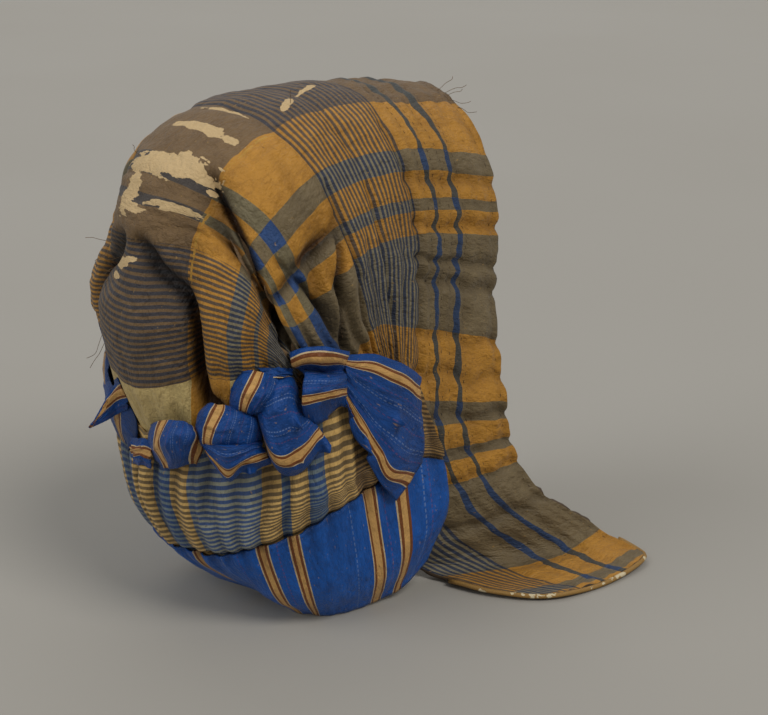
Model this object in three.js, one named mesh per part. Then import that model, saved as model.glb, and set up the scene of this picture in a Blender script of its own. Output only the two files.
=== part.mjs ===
// Quilted silk hood with a gathered crown, a neck curtain, long lappets and a puffed ribbon trim.
// Millimetres, +Z up. The face opening looks along -Y, the wearer's right side is -X,
// and the hood stands on the floor plane z = 0 on its curtain border and its spread lappets.

import * as THREE from "three";

// Driving dimensions.
const clothLength = 455;      // down the middle, from the face edge to the gathered neck seam
const neckWidth = 250;        // cloth from the middle line down to the neck seam, each side
const lappetEnd = 443;        // cloth from the middle line to the lappet's end
const lappetWidth = 120;      // cloth width that carries on down as a lappet
const lappetCorner = 26;      // radius of the lappet's rounded corners
const padding = 5.5;          // silk, wadding and cotton lining
const curtainCloth = 2.2;     // curtain wall
const ribbonCloth = 1.2;      // ribbon wall, silk doubled in its folds
const seat = 0.4;             // gap between pieces that touch
const pipingRadius = 1.7;
// Where the piping runs: down the inner edge, across the end, and a little up the face edge.
const pipingRun = {
  innerEdge: [388, 400, 411],
  endSteps: [119, 115, 108, 96, 78, 60, 42, 24, 12, 5, 1],
  faceEdge: [411, 402],
};

// The cloth's place at stations down from the middle line, one row for each cross section.
// Each point is [out from the middle, back, up].
const ribStops = { top: 0, crown: 38, shoulder: 80, side: 133, low: 175, neck: neckWidth };
const hoodRibs = [
  { at: 0, top: [0, -116, 341], crown: [31, -116, 333], shoulder: [62, -117, 300],
    side: [75, -117, 247], low: [75, -115, 208], neck: [86, -116, 129] },
  { at: 83, top: [0, -34, 351], crown: [42, -29, 344], shoulder: [72, -31, 318],
    side: [84, -38, 263], low: [86, -37, 234], neck: [86, -36, 150] },
  { at: 170, top: [0, 54, 345], crown: [44, 53, 338], shoulder: [76, 45, 313],
    side: [97, 30, 260], low: [98, 23, 235], neck: [92, 2, 178] },
  { at: 225, top: [0, 103, 320], crown: [45, 100, 313], shoulder: [79, 83, 290],
    side: [98, 60, 238], low: [98, 42, 206], neck: [95, 25, 186] },
  { at: 263, top: [0, 121, 298], crown: [46, 111, 294], shoulder: [75, 96, 276],
    side: [95, 77, 227], low: [97, 64, 203], neck: [94, 42, 185] },
  { at: 325, top: [0, 135, 272], crown: [46, 122, 273], shoulder: [76, 105, 261],
    side: [88, 88, 230], low: [93, 76, 203], neck: [92, 58, 183] },
  { at: 372, top: [0, 140, 224], crown: [48, 131, 230], shoulder: [77, 114, 229],
    side: [89, 95, 218], low: [93, 82, 201], neck: [91, 65, 182] },
  { at: 420, top: [0, 136, 176], crown: [46, 126, 187], shoulder: [71, 110, 193],
    side: [84, 91, 190], low: [89, 80, 186], neck: [89, 71, 180] },
  { at: clothLength, top: [0, 124, 134], crown: [40, 118, 143], shoulder: [64, 105, 158],
    side: [78, 92, 170], low: [84, 83, 176], neck: [87, 77, 178] },
];

// The lappet below the neck line: its face edge, middle and inner edge, one row for each station.
const lappetStops = { face: 0, middle: 60, inner: lappetWidth };
const lappetRows = [
  { at: 290, face: [84, -127, 91], middle: [86, -68, 94], inner: [76, -16, 92] },
  { at: 340, face: [94, -152, 49], middle: [88, -105, 40], inner: [56, -36, 30] },
  { at: 370, face: [108, -182, 26], middle: [97, -140, 11], inner: [62, -60, 8] },
  { at: 400, face: [122, -197, 12], middle: [120, -145, 5.4], inner: [102, -72, 5.3] },
  { at: lappetEnd, face: [146, -213, 5.3], middle: [154, -155, 5.2], inner: [148, -97, 5.2] },
];

// The neck curtain and its ribbon border, one row for each section from centre back to the front.
// Its top edge is sewn to the hood at the cloth station [along, down] named in "seam".
const curtainStops = { top: 0, bulge: 35, join: 85, roll: 125, hem: 160 };
const curtainRows = [
  { at: 0, seam: [449, 0], bulge: [0, 133, 105], join: [0, 110, 52],
    roll: [0, 76, 22], hem: [0, 42, 1] },
  { at: 45, seam: [449, 44], bulge: [42, 122, 104], join: [38, 104, 56],
    roll: [31, 69, 22], hem: [24, 37, 1] },
  { at: 85, seam: [449, 102], bulge: [73, 99, 110], join: [65, 93, 66],
    roll: [58, 71, 25], hem: [47, 44, 1] },
  { at: 120, seam: [430, 232], bulge: [94, 75, 118], join: [89, 69, 80],
    roll: [79, 51, 29], hem: [63, 33, 1] },
  { at: 160, seam: [262, 243], bulge: [104, 46, 124], join: [99, 38, 94],
    roll: [88, 22, 32], hem: [71, 9, 1] },
  { at: 190, seam: [188, 244], bulge: [104, 14, 130], join: [101, 14, 103],
    roll: [92, -2, 36], hem: [73, -13, 3] },
  { at: 215, seam: [132, 244], bulge: [100, -20, 133], join: [99, -21, 112],
    roll: [94, -30, 48], hem: [77, -33, 10] },
  { at: 235, seam: [88, 244], bulge: [97, -42, 128], join: [96, -50, 103],
    roll: [93, -54, 62], hem: [80, -50, 24] },
];
const curtainEnd = curtainRows[curtainRows.length - 1].at;
const curtainLead = curtainCloth + 1.5 * seat;   // the curtain's face stands this far off the hood
const curtainPleats = { pitch: 30, depth: 2.4, fadeIn: 12 };

// Deep folds in the gathered crown, each a path of [along, down] cloth stations.
const deepFolds = [
  { path: [[236, 42], [272, 56], [302, 82], [318, 126], [312, 185]], depth: 12, width: 15 },
  { path: [[275, 38], [360, 41], [405, 45], [432, 52], [450, 72]], depth: 6, width: 11 },
  { path: [[335, 8], [355, 22], [374, 36]], depth: 5, width: 12 },
  { path: [[190, 104], [214, 116], [222, 136], [222, 168], [224, 220]], depth: 7, width: 10 },
  { path: [[200, 118], [198, 150], [205, 215]], depth: 5, width: 8 },
];
// Folds start shallow at each end of their path, and flatten at the neck seam.
const foldEnds = { start: 0.08, run: 0.84, rounding: 0.5 };
const seamFlattening = { share: 0.3, reach: 20 };
// Small gathers that fade in towards the neck seam, behind the front band.
const gathers = { pitch: 38, depth: 4, reach: 62, from: 150, full: 190 };

// Cubic curve through keyed values, with slopes from the neighbouring values.
function smoothThrough(keys, values, x) {
  const last = keys.length - 1;
  const at = Math.min(Math.max(x, keys[0]), keys[last]);
  let i = 0;
  while (i < last - 1 && at >= keys[i + 1]) i += 1;
  const step = (k) => keys[k + 1] - keys[k];
  const rise = (k) => (values[k + 1] - values[k]) / step(k);
  const slope = (k) => {
    if (k === 0) return rise(0);
    if (k === last) return rise(last - 1);
    return (rise(k - 1) * step(k) + rise(k) * step(k - 1)) / (step(k - 1) + step(k));
  };
  const u = (at - keys[i]) / step(i);
  const start = values[i] * (1 + 2 * u) * (1 - u) ** 2 + slope(i) * step(i) * u * (1 - u) ** 2;
  const end = values[i + 1] * u * u * (3 - 2 * u) + slope(i + 1) * step(i) * u * u * (u - 1);
  return start + end;
}

function smoothPoint(keys, points, x) {
  return [0, 1, 2].map((axis) => smoothThrough(keys, points.map((point) => point[axis]), x));
}

// A point on a net of named stations: across the stops within each row, then along the rows.
function netPoint(rows, stops, across, along) {
  const names = Object.keys(stops);
  const keys = names.map((name) => stops[name]);
  const points = rows.map((row) => smoothPoint(keys, names.map((name) => row[name]), across));
  return smoothPoint(rows.map((row) => row.at), points, along);
}

// The hood's middle line is a line of symmetry, so each rib is smoothed through both halves.
function hoodBase(along, down) {
  const names = Object.keys(ribStops);
  const mirrored = names.slice(1).reverse();
  const keys = [...mirrored.map((name) => -ribStops[name]), ...names.map((name) => ribStops[name])];
  const points = hoodRibs.map((row) => {
    const farSide = mirrored.map((name) => [-row[name][0], row[name][1], row[name][2]]);
    return smoothPoint(keys, [...farSide, ...names.map((name) => row[name])], down);
  });
  return smoothPoint(hoodRibs.map((row) => row.at), points, along);
}

// The lappet net starts from the hood's own neck line, so the two meet without a step.
function lappetBase(along, down) {
  const rowOf = (at) => {
    const row = { at };
    for (const [name, stop] of Object.entries(lappetStops)) row[name] = hoodBase(stop, at);
    return row;
  };
  const rows = [rowOf(ribStops.low), rowOf(neckWidth), ...lappetRows];
  const here = netPoint(rows, lappetStops, along, down);
  const start = netPoint(rows, lappetStops, along, neckWidth);
  const neck = hoodBase(along, neckWidth);
  return here.map((value, axis) => value - start[axis] + neck[axis]);
}

function clothBase(along, down) {
  return down > neckWidth ? lappetBase(along, down) : hoodBase(along, down);
}

function add(a, b, scale = 1) {
  return a.map((value, axis) => value + b[axis] * scale);
}

function unit(vector) {
  const length = Math.hypot(...vector);
  return vector.map((value) => value / length);
}

function cross(a, b) {
  return [a[1] * b[2] - a[2] * b[1], a[2] * b[0] - a[0] * b[2], a[0] * b[1] - a[1] * b[0]];
}

// Unit normal of a sheet from small steps both ways along its two directions.
function normalOf(surface, across, along) {
  const step = 2;
  const first = add(surface(across + step, along), surface(across - step, along), -1);
  const second = add(surface(across, along + step), surface(across, along - step), -1);
  return unit(cross(first, second));
}

function smoothStep(from, to, x) {
  const u = Math.min(Math.max((x - from) / (to - from), 0), 1);
  return u * u * (3 - 2 * u);
}

// Distance on the cloth from a station to a fold's path, and how far along the path it lies.
function foldDistance(path, along, down) {
  let nearest = Infinity;
  let share = 0;
  for (let k = 0; k < path.length - 1; k += 1) {
    const run = [path[k + 1][0] - path[k][0], path[k + 1][1] - path[k][1]];
    const reach = [along - path[k][0], down - path[k][1]];
    const raw = (reach[0] * run[0] + reach[1] * run[1]) / (run[0] ** 2 + run[1] ** 2);
    const u = Math.min(Math.max(raw, 0), 1);
    const distance = Math.hypot(reach[0] - u * run[0], reach[1] - u * run[1]);
    if (distance < nearest) {
      nearest = distance;
      share = (k + u) / (path.length - 1);
    }
  }
  return { nearest, share };
}

// How far folds and gathers pull the padded cloth in at a station.
function foldDepth(along, down) {
  const reach = Math.abs(down);
  let depth = 0;
  for (const fold of deepFolds) {
    const { nearest, share } = foldDistance(fold.path, along, reach);
    const ends = Math.sin(Math.PI * (foldEnds.start + foldEnds.run * share)) ** foldEnds.rounding;
    depth = Math.max(depth, fold.depth * ends * Math.exp(-((nearest / fold.width) ** 2)));
  }
  const behindBand = smoothStep(gathers.from, gathers.full, along);
  const alongNeck = smoothStep(neckWidth - gathers.reach, neckWidth, reach) * behindBand;
  const alongBack = smoothStep(clothLength - gathers.reach, clothLength, along);
  const wave = (x) => 0.5 - 0.5 * Math.cos((2 * Math.PI * x) / gathers.pitch);
  const ripple = Math.max(alongNeck * wave(along), alongBack * wave(reach));
  return Math.max(depth, gathers.depth * ripple);
}

// The wearer's right side has negative "down" stations and negative X.
function mirrored(point, down) {
  return down < 0 ? [-point[0], point[1], point[2]] : point;
}

function hoodOuter(along, down) {
  const reach = Math.abs(down);
  const point = clothBase(along, reach);
  if (reach > neckWidth) return mirrored(point, down);
  const inward = normalOf(hoodBase, along, reach);
  const edge = smoothStep(0, seamFlattening.reach, clothLength - along);
  const share = seamFlattening.share + (1 - seamFlattening.share) * edge;
  return mirrored(add(point, inward, foldDepth(along, reach) * share), down);
}

function hoodInner(along, down) {
  const reach = Math.abs(down);
  const inward = normalOf(clothBase, along, reach);
  const outer = hoodOuter(along, reach);
  const inner = add(outer, inward, padding);
  return mirrored([inner[0], inner[1], Math.max(inner[2], 0)], down);
}

// Closed sheet with a wall: an outer face, an inner face and a rim round every free edge.
function walledSheet(columns, rows, outer, inner, hasCell = () => true) {
  const positions = [];
  const numbers = new Map();
  const corner = (i, j, face) => {
    const key = `${i} ${j} ${face}`;
    if (!numbers.has(key)) {
      numbers.set(key, positions.length / 3);
      positions.push(...(face === "outer" ? outer(i, j) : inner(i, j)));
    }
    return numbers.get(key);
  };
  const faces = [];
  const exists = (i, j) => i >= 0 && j >= 0 && i < columns && j < rows && hasCell(i, j);
  for (let i = 0; i < columns; i += 1) {
    for (let j = 0; j < rows; j += 1) {
      if (!exists(i, j)) continue;
      const ring = [[i, j], [i + 1, j], [i + 1, j + 1], [i, j + 1]];
      const beyond = [[i, j - 1], [i + 1, j], [i, j + 1], [i - 1, j]];
      const top = ring.map(([a, b]) => corner(a, b, "outer"));
      const under = ring.map(([a, b]) => corner(a, b, "inner"));
      faces.push([top[0], top[1], top[2]], [top[0], top[2], top[3]]);
      faces.push([under[0], under[2], under[1]], [under[0], under[3], under[2]]);
      for (let side = 0; side < 4; side += 1) {
        if (exists(...beyond[side])) continue;
        const next = (side + 1) % 4;
        faces.push([top[next], top[side], under[side]], [top[next], under[side], under[next]]);
      }
    }
  }
  const at = (k) => positions.slice(3 * k, 3 * k + 3);
  let volume = 0;
  for (const [a, b, c] of faces) {
    const normal = cross(at(b), at(c));
    volume += at(a).reduce((sum, value, axis) => sum + value * normal[axis], 0) / 6;
  }
  const outward = volume > 0 ? faces : faces.map(([a, b, c]) => [a, c, b]);
  const geometry = new THREE.BufferGeometry();
  geometry.setAttribute("position", new THREE.Float32BufferAttribute(positions, 3));
  geometry.setIndex(outward.flat());
  geometry.computeVertexNormals();
  return geometry;
}

const hood = new THREE.Group();

function addPiece(name, geometry, material) {
  const mesh = new THREE.Mesh(geometry, material);
  mesh.name = name;
  hood.add(mesh);
  return mesh;
}

const silk = new THREE.MeshStandardMaterial({ color: 0x9a7240, roughness: 0.55, metalness: 0 });
const striped = new THREE.MeshStandardMaterial({ color: 0x8c8468, roughness: 0.6, metalness: 0 });
const ribbon = new THREE.MeshStandardMaterial({ color: 0x1f3f8a, roughness: 0.45, metalness: 0 });
const gold = new THREE.MeshStandardMaterial({ color: 0xa47a34, roughness: 0.6, metalness: 0 });

// Front band, crown and both lappets are one quilted cloth with a hollow for the head.
const lappetColumns = 9;
const crownColumns = 27;
const sideRows = 18;
const lappetRowCount = 10;
const hoodColumns = lappetColumns + crownColumns;
const halfRows = sideRows + lappetRowCount;

function alongAt(i) {
  if (i <= lappetColumns) return (lappetWidth * i) / lappetColumns;
  return lappetWidth + ((clothLength - lappetWidth) * (i - lappetColumns)) / crownColumns;
}

// The lappet's end is cut with round corners.
function lappetLength(along) {
  const fromEdge = Math.min(along, lappetWidth - along);
  const inset = Math.max(lappetCorner - fromEdge, 0);
  return lappetEnd - lappetCorner + Math.sqrt(lappetCorner ** 2 - inset ** 2) * 0.999;
}

function downAt(i, j) {
  const row = Math.abs(j);
  if (row <= sideRows) return (Math.sign(j) * neckWidth * row) / sideRows;
  const share = (row - sideRows) / lappetRowCount;
  return Math.sign(j) * (neckWidth + (lappetLength(alongAt(i)) - neckWidth) * share);
}

const hoodCell = (i, j) => {
  const row = j < halfRows ? halfRows - j : j - halfRows + 1;
  return row <= sideRows || i < lappetColumns;
};
const hoodGeometry = walledSheet(
  hoodColumns,
  2 * halfRows,
  (i, j) => hoodOuter(alongAt(i), downAt(i, j - halfRows)),
  (i, j) => hoodInner(alongAt(i), downAt(i, j - halfRows)),
  hoodCell,
);
addPiece("hood_shell", hoodGeometry, silk);

// The curtain is gathered to the neck line and swells out below it.
const curtainColumns = 60;
const curtainSections = curtainRows.map((row) => {
  const [along, down] = row.seam;
  const inward = normalOf(hoodBase, along, down);
  return { ...row, top: add(hoodBase(along, down), inward, -curtainLead) };
});

function curtainBase(down, along) {
  return netPoint(curtainSections, curtainStops, down, Math.abs(along));
}

function curtainFace(down, along, wall) {
  const reach = Math.abs(along);
  const inward = normalOf((a, b) => curtainBase(a, Math.max(b, 0)), down, Math.max(reach, 2));
  const above = smoothStep(curtainStops.roll, curtainStops.join, down);
  const hang = smoothStep(0, curtainPleats.fadeIn, down) * above;
  const wave = 0.5 - 0.5 * Math.cos((2 * Math.PI * reach) / curtainPleats.pitch);
  const point = add(curtainBase(down, reach), inward, curtainPleats.depth * hang * wave + wall);
  return mirrored([point[0], point[1], Math.max(point[2], 0)], along);
}

function curtainPiece(name, from, to, rows, wall, material) {
  const along = (i) => curtainEnd * ((2 * i) / curtainColumns - 1);
  const down = (j) => from + ((to - from) * j) / rows;
  const geometry = walledSheet(
    curtainColumns,
    rows,
    (i, j) => curtainFace(down(j), along(i), 0),
    (i, j) => curtainFace(down(j), along(i), wall),
  );
  return addPiece(name, geometry, material);
}

curtainPiece("bavolet", 0, curtainStops.join - seat, 5, curtainCloth, striped);
curtainPiece("bavolet_border", curtainStops.join, curtainStops.hem, 4, curtainCloth, ribbon);

// The ribbon trim is laid over the neck seam. It is one ribbon, caught by stitches into separate
// puffs, folds and knots, and each puff is a closed solid of its own.
// Spans run along the curtain's top line, heights are above and below it.
const ribbonPuffs = [
  { name: "ribbon_knot", from: 130, to: 163, up: 25, down: 30, rise: 17 },
  { name: "ribbon_puff_ear", from: 100, to: 129, up: 22, down: 50, rise: 15 },
  { name: "ribbon_fold", from: 83, to: 99, up: 36, down: 12, rise: 12 },
  { name: "ribbon_puff_side", from: 51, to: 82, up: 22, down: 38, rise: 14 },
  { name: "ribbon_puff_back", from: 13, to: 50, up: 14, down: 24, rise: 15 },
];
// The fan spreads from the knot to the front band: its upper and lower edges as [along, height].
const ribbonFan = { upper: [[165, 4], [233, 4]], lower: [[165, -18], [200, -84]], rise: 5 };
const ribbonBand = { halfSpan: 12, up: 4, down: 22 };
// The cut end at the back left, lying on the crown at its root and standing off at its tip.
const ribbonTail = { upper: [[62, 46], [40, 4]], lower: [[62, 23], [44, -18]], reach: 46 };
const puffColumns = 7;
const puffRows = 5;
// A puff swells between its two stitched ends, and its upper and lower edges draw in there.
const puffShape = { start: 0.06, run: 0.88, rounding: 0.6, endHeight: 0.45, curl: 0.9 };
const ribbonClearance = 1.5 * seat;
const clothMiddleBack = 20;      // a place well inside the hood, to tell outward from inward
const spanStep = 3;

// Points on the outside of the two cloths that ribbons lie on.
function skinOf(surface, firstSpan, secondSpan) {
  const points = [];
  const steps = [64, 24];
  for (let i = 0; i <= steps[0]; i += 1) {
    for (let j = 0; j <= steps[1]; j += 1) {
      const first = firstSpan[0] + ((firstSpan[1] - firstSpan[0]) * i) / steps[0];
      const second = secondSpan[0] + ((secondSpan[1] - secondSpan[0]) * j) / steps[1];
      points.push({ point: surface(first, second), inward: normalOf(surface, first, second) });
    }
  }
  return points;
}
const curtainSkin = (along, down) => curtainBase(down, along);
const skins = [
  { points: skinOf(hoodBase, [lappetWidth, clothLength], [0, neckWidth]), turn: 1 },
  { points: skinOf(curtainSkin, [2, curtainEnd], [0, curtainStops.roll]), turn: -1 },
];

// How far a point stands off the nearest place of one cloth.
function standOff(skin, point) {
  let least = Infinity;
  let height = 0;
  for (const { point: place, inward } of skin.points) {
    const gap = add(point, place, -1);
    const distance = gap[0] ** 2 + gap[1] ** 2 + gap[2] ** 2;
    if (distance < least) {
      least = distance;
      height = -skin.turn * gap.reduce((sum, value, axis) => sum + value * inward[axis], 0);
    }
  }
  return height;
}

// Moves a point out until it lies clear of both cloths.
function clearOfCloth(point, outward, clearance) {
  let moved = point;
  for (let step = 0; step < 40; step += 1) {
    const height = Math.min(...skins.map((skin) => standOff(skin, moved)));
    if (height >= clearance) return moved;
    moved = add(moved, outward, Math.max(clearance - height, seat));
  }
  return moved;
}

// A place over the neck seam: along it, above it, and out from it.
function ruchePoint(along, height, out) {
  const line = (a) => curtainBase(0, Math.max(a, 0));
  const run = add(line(along + spanStep), line(along - spanStep), -1);
  const outward = unit([-run[1], run[0], 0]);
  const place = line(along);
  const facing = outward[0] * place[0] + outward[1] * (place[1] - clothMiddleBack);
  const away = facing > 0 ? outward : outward.map((value) => -value);
  return { point: add([place[0], place[1], place[2] + height], away, out), outward: away };
}

function ribbonSolid(name, side, columns, rows, surface) {
  const face = (i, j, wall) => {
    const { point, outward } = surface(i / columns, j / rows);
    const seated = clearOfCloth(point, outward, ribbonClearance);
    const shown = add(seated, outward, wall);
    return [shown[0] * side, shown[1], shown[2]];
  };
  const geometry = walledSheet(columns, rows, (i, j) => face(i, j, ribbonCloth), (i, j) => face(i, j, 0));
  return addPiece(name, geometry, ribbon);
}

// A strip between two straight edges, each from its root to its tip.
function stripPlace(strip, a, b) {
  const onEdge = (edge, k) => edge[0][k] + (edge[1][k] - edge[0][k]) * a;
  return [0, 1].map((k) => onEdge(strip.lower, k) + (onEdge(strip.upper, k) - onEdge(strip.lower, k)) * b);
}

const sides = { right: -1, left: 1 };
for (const [word, side] of Object.entries(sides)) {
  for (const puff of ribbonPuffs) {
    ribbonSolid(`${puff.name}_${word}`, side, puffColumns, puffRows, (a, b) => {
      const { start, run, rounding, endHeight, curl } = puffShape;
      const crown = Math.sin(Math.PI * (start + run * a)) ** rounding;
      const reach = (b < 0.5 ? -puff.down : puff.up) * Math.abs(2 * b - 1);
      const height = reach * (endHeight + (1 - endHeight) * crown);
      const out = puff.rise * crown * Math.cos((Math.PI / 2) * (2 * b - 1) * curl);
      return ruchePoint(puff.from + (puff.to - puff.from) * a, height, out);
    });
  }
  ribbonSolid(`ribbon_fan_${word}`, side, puffColumns, puffRows, (a, b) => {
    const out = ribbonFan.rise * Math.sin(Math.PI * a) * Math.sin(Math.PI * b);
    return ruchePoint(...stripPlace(ribbonFan, a, b), out);
  });
}

ribbonSolid("ribbon_band_back", 1, 4, 3, (a, b) => {
  const along = ribbonBand.halfSpan * (2 * a - 1);
  const half = Math.sign(along);
  const height = ribbonBand.up - (ribbonBand.up + ribbonBand.down) * b;
  const { point, outward } = ruchePoint(Math.abs(along), height, 0);
  return { point: [point[0] * half, point[1], point[2]], outward: [outward[0] * half, outward[1], 0] };
});

ribbonSolid("ribbon_tail_left", 1, 5, 3, (a, b) => {
  return ruchePoint(...stripPlace(ribbonTail, a, b), ribbonTail.reach * a);
});

// Gold piping runs round the lappet's free end, from its inner edge to its face edge.
function lappetRim(along, down) {
  const middle = add(hoodOuter(along, down), hoodInner(along, down)).map((value) => value / 2);
  const centre = clothBase(lappetWidth / 2, Math.min(down, lappetEnd - lappetWidth / 2));
  return { middle, centre, inward: normalOf(clothBase, along, down) };
}

function pipingPath(side) {
  const stations = pipingRun.innerEdge.map((down) => [lappetWidth, down]);
  for (const along of pipingRun.endSteps) stations.push([along, lappetLength(along)]);
  for (const down of pipingRun.faceEdge) stations.push([0, down]);
  const rims = stations.map(([along, down]) => lappetRim(along, down));
  return rims.map(({ middle, centre, inward }, k) => {
    const before = rims[Math.max(k - 1, 0)].middle;
    const after = rims[Math.min(k + 1, rims.length - 1)].middle;
    const away = unit(cross(add(after, before, -1), inward));
    const reach = add(middle, centre, -1);
    const sign = reach[0] * away[0] + reach[1] * away[1] > 0 ? 1 : -1;
    const point = add(middle, away, sign * (pipingRadius + 2 * seat));
    return new THREE.Vector3(point[0] * side, point[1], point[2]);
  });
}

const pipingSection = new THREE.Shape();
pipingSection.absarc(0, 0, pipingRadius, 0, 2 * Math.PI);
for (const [word, side] of Object.entries(sides)) {
  const path = new THREE.CatmullRomCurve3(pipingPath(side));
  const piping = new THREE.ExtrudeGeometry(pipingSection, {
    steps: 28, curveSegments: 3, bevelEnabled: false, extrudePath: path,
  });
  addPiece(`lappet_piping_${word}`, piping, gold);
}

// The origin is the middle of the outline on the floor.
const outline = new THREE.Box3().setFromObject(hood);
hood.position.y = -(outline.min.y + outline.max.y) / 2;

export default hood;
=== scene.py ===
import math

import bmesh
import bpy
import numpy as np
from mathutils import Matrix, Vector, noise
from mathutils.bvhtree import BVHTree


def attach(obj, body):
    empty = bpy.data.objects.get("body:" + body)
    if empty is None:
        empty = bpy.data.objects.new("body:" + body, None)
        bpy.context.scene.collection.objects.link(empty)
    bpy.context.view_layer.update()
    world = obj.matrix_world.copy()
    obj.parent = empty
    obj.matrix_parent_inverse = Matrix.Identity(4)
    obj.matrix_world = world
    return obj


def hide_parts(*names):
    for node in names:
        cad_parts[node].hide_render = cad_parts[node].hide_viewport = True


# Quilted silk hood: crown and lappets, neck curtain with a ribbon border, puffed ribbon trim.
# Cloth is laid out in millimetres, "along" from the face edge and "down" from the middle line,
# and the wearer's right side has negative "down" values and negative X.

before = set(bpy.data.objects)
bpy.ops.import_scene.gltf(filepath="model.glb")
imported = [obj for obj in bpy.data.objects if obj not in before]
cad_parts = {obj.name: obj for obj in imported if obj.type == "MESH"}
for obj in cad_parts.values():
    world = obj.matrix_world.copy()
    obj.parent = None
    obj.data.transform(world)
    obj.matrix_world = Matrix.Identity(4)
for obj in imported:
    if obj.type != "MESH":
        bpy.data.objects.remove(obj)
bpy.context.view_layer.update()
mm = 0.001

model = {
    "backShift": 21.014,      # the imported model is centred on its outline
    "floorGap": 0.25,
}

view = {
    "azimuth": 232, "elevation": 18, "distance": 1.30, "target": (0, 0, 0.17),
    "focalPixels": 1885, "imageWidth": 768, "targetAside": 85, "targetAbove": 10,
}


def directionOf(turn, lift):
    # a turn about the upright from the front, and a lift over the floor, both in degrees
    turn, lift = math.radians(turn), math.radians(lift)
    return Vector((math.sin(turn) * math.cos(lift), -math.cos(turn) * math.cos(lift), math.sin(lift)))


def placeCamera():
    turn = math.radians(view["azimuth"])
    back = directionOf(view["azimuth"], view["elevation"])
    right = Vector((math.cos(turn), math.sin(turn), 0))
    up = back.cross(right)
    target = Vector(view["target"]) + Vector((0, model["backShift"] * mm, 0))
    aim = right * view["targetAside"] - up * view["targetAbove"] - back * view["focalPixels"]
    data = bpy.data.cameras.new("camera")
    data.sensor_width = 36
    data.lens = view["focalPixels"] * data.sensor_width / view["imageWidth"]
    camera = bpy.data.objects.new("camera", data)
    bpy.context.scene.collection.objects.link(camera)
    camera.location = target + back * view["distance"]
    camera.rotation_euler = aim.to_track_quat("-Z", "Y").to_euler()
    bpy.context.scene.camera = camera


placeCamera()
print("camera placed")


# Cloth surfaces

def smoothThrough(keys, values, x):
    # a smooth curve through the values at the keys
    keys, values = np.asarray(keys, float), np.asarray(values, float)
    wide = (-1,) + (1,) * (values.ndim - 1)
    step = np.diff(keys)
    steps = step.reshape(wide)
    rise = np.diff(values, axis=0) / steps
    inner = (rise[:-1] * steps[1:] + rise[1:] * steps[:-1]) / (steps[1:] + steps[:-1])
    slope = np.concatenate([rise[:1], inner, rise[-1:]])
    at = np.clip(np.atleast_1d(x), keys[0], keys[-1])
    i = np.clip(np.searchsorted(keys, at, side="right") - 1, 0, len(keys) - 2)
    u = ((at - keys[i]) / step[i]).reshape(wide)
    run = step[i].reshape(wide)
    start = values[i] * (1 + 2 * u) * (1 - u) ** 2 + slope[i] * run * u * (1 - u) ** 2
    end = values[i + 1] * u * u * (3 - 2 * u) + slope[i + 1] * run * u * u * (u - 1)
    return start + end


def smoothStep(low, high, x):
    u = np.clip((np.asarray(x, float) - low) / (high - low), 0, 1)
    return u * u * (3 - 2 * u)


def unitRows(rows):
    return rows / np.maximum(np.linalg.norm(rows, axis=-1, keepdims=True), 1e-9)


def softNoise(points, height, scale, seed):
    # one smooth value near -height to height for each point, "scale" in bumps per millimetre
    at = np.asarray(points, float) * np.asarray(scale, float)
    return height * np.array([noise.noise(Vector((x, y, seed * 7.31 + 0.5))) for x, y in at])


def nearestLine(places, lines):
    return np.min([np.abs(places - line) for line in lines], axis=0)


def softSpot(along, down, spot):
    # 1 at the middle of a round soft spot on the cloth, falling to 0
    (middleAlong, middleDown), (halfAlong, halfDown) = spot["at"], spot["size"]
    return np.exp(-((along - middleAlong) / halfAlong) ** 2 - ((down - middleDown) / halfDown) ** 2)


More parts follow.
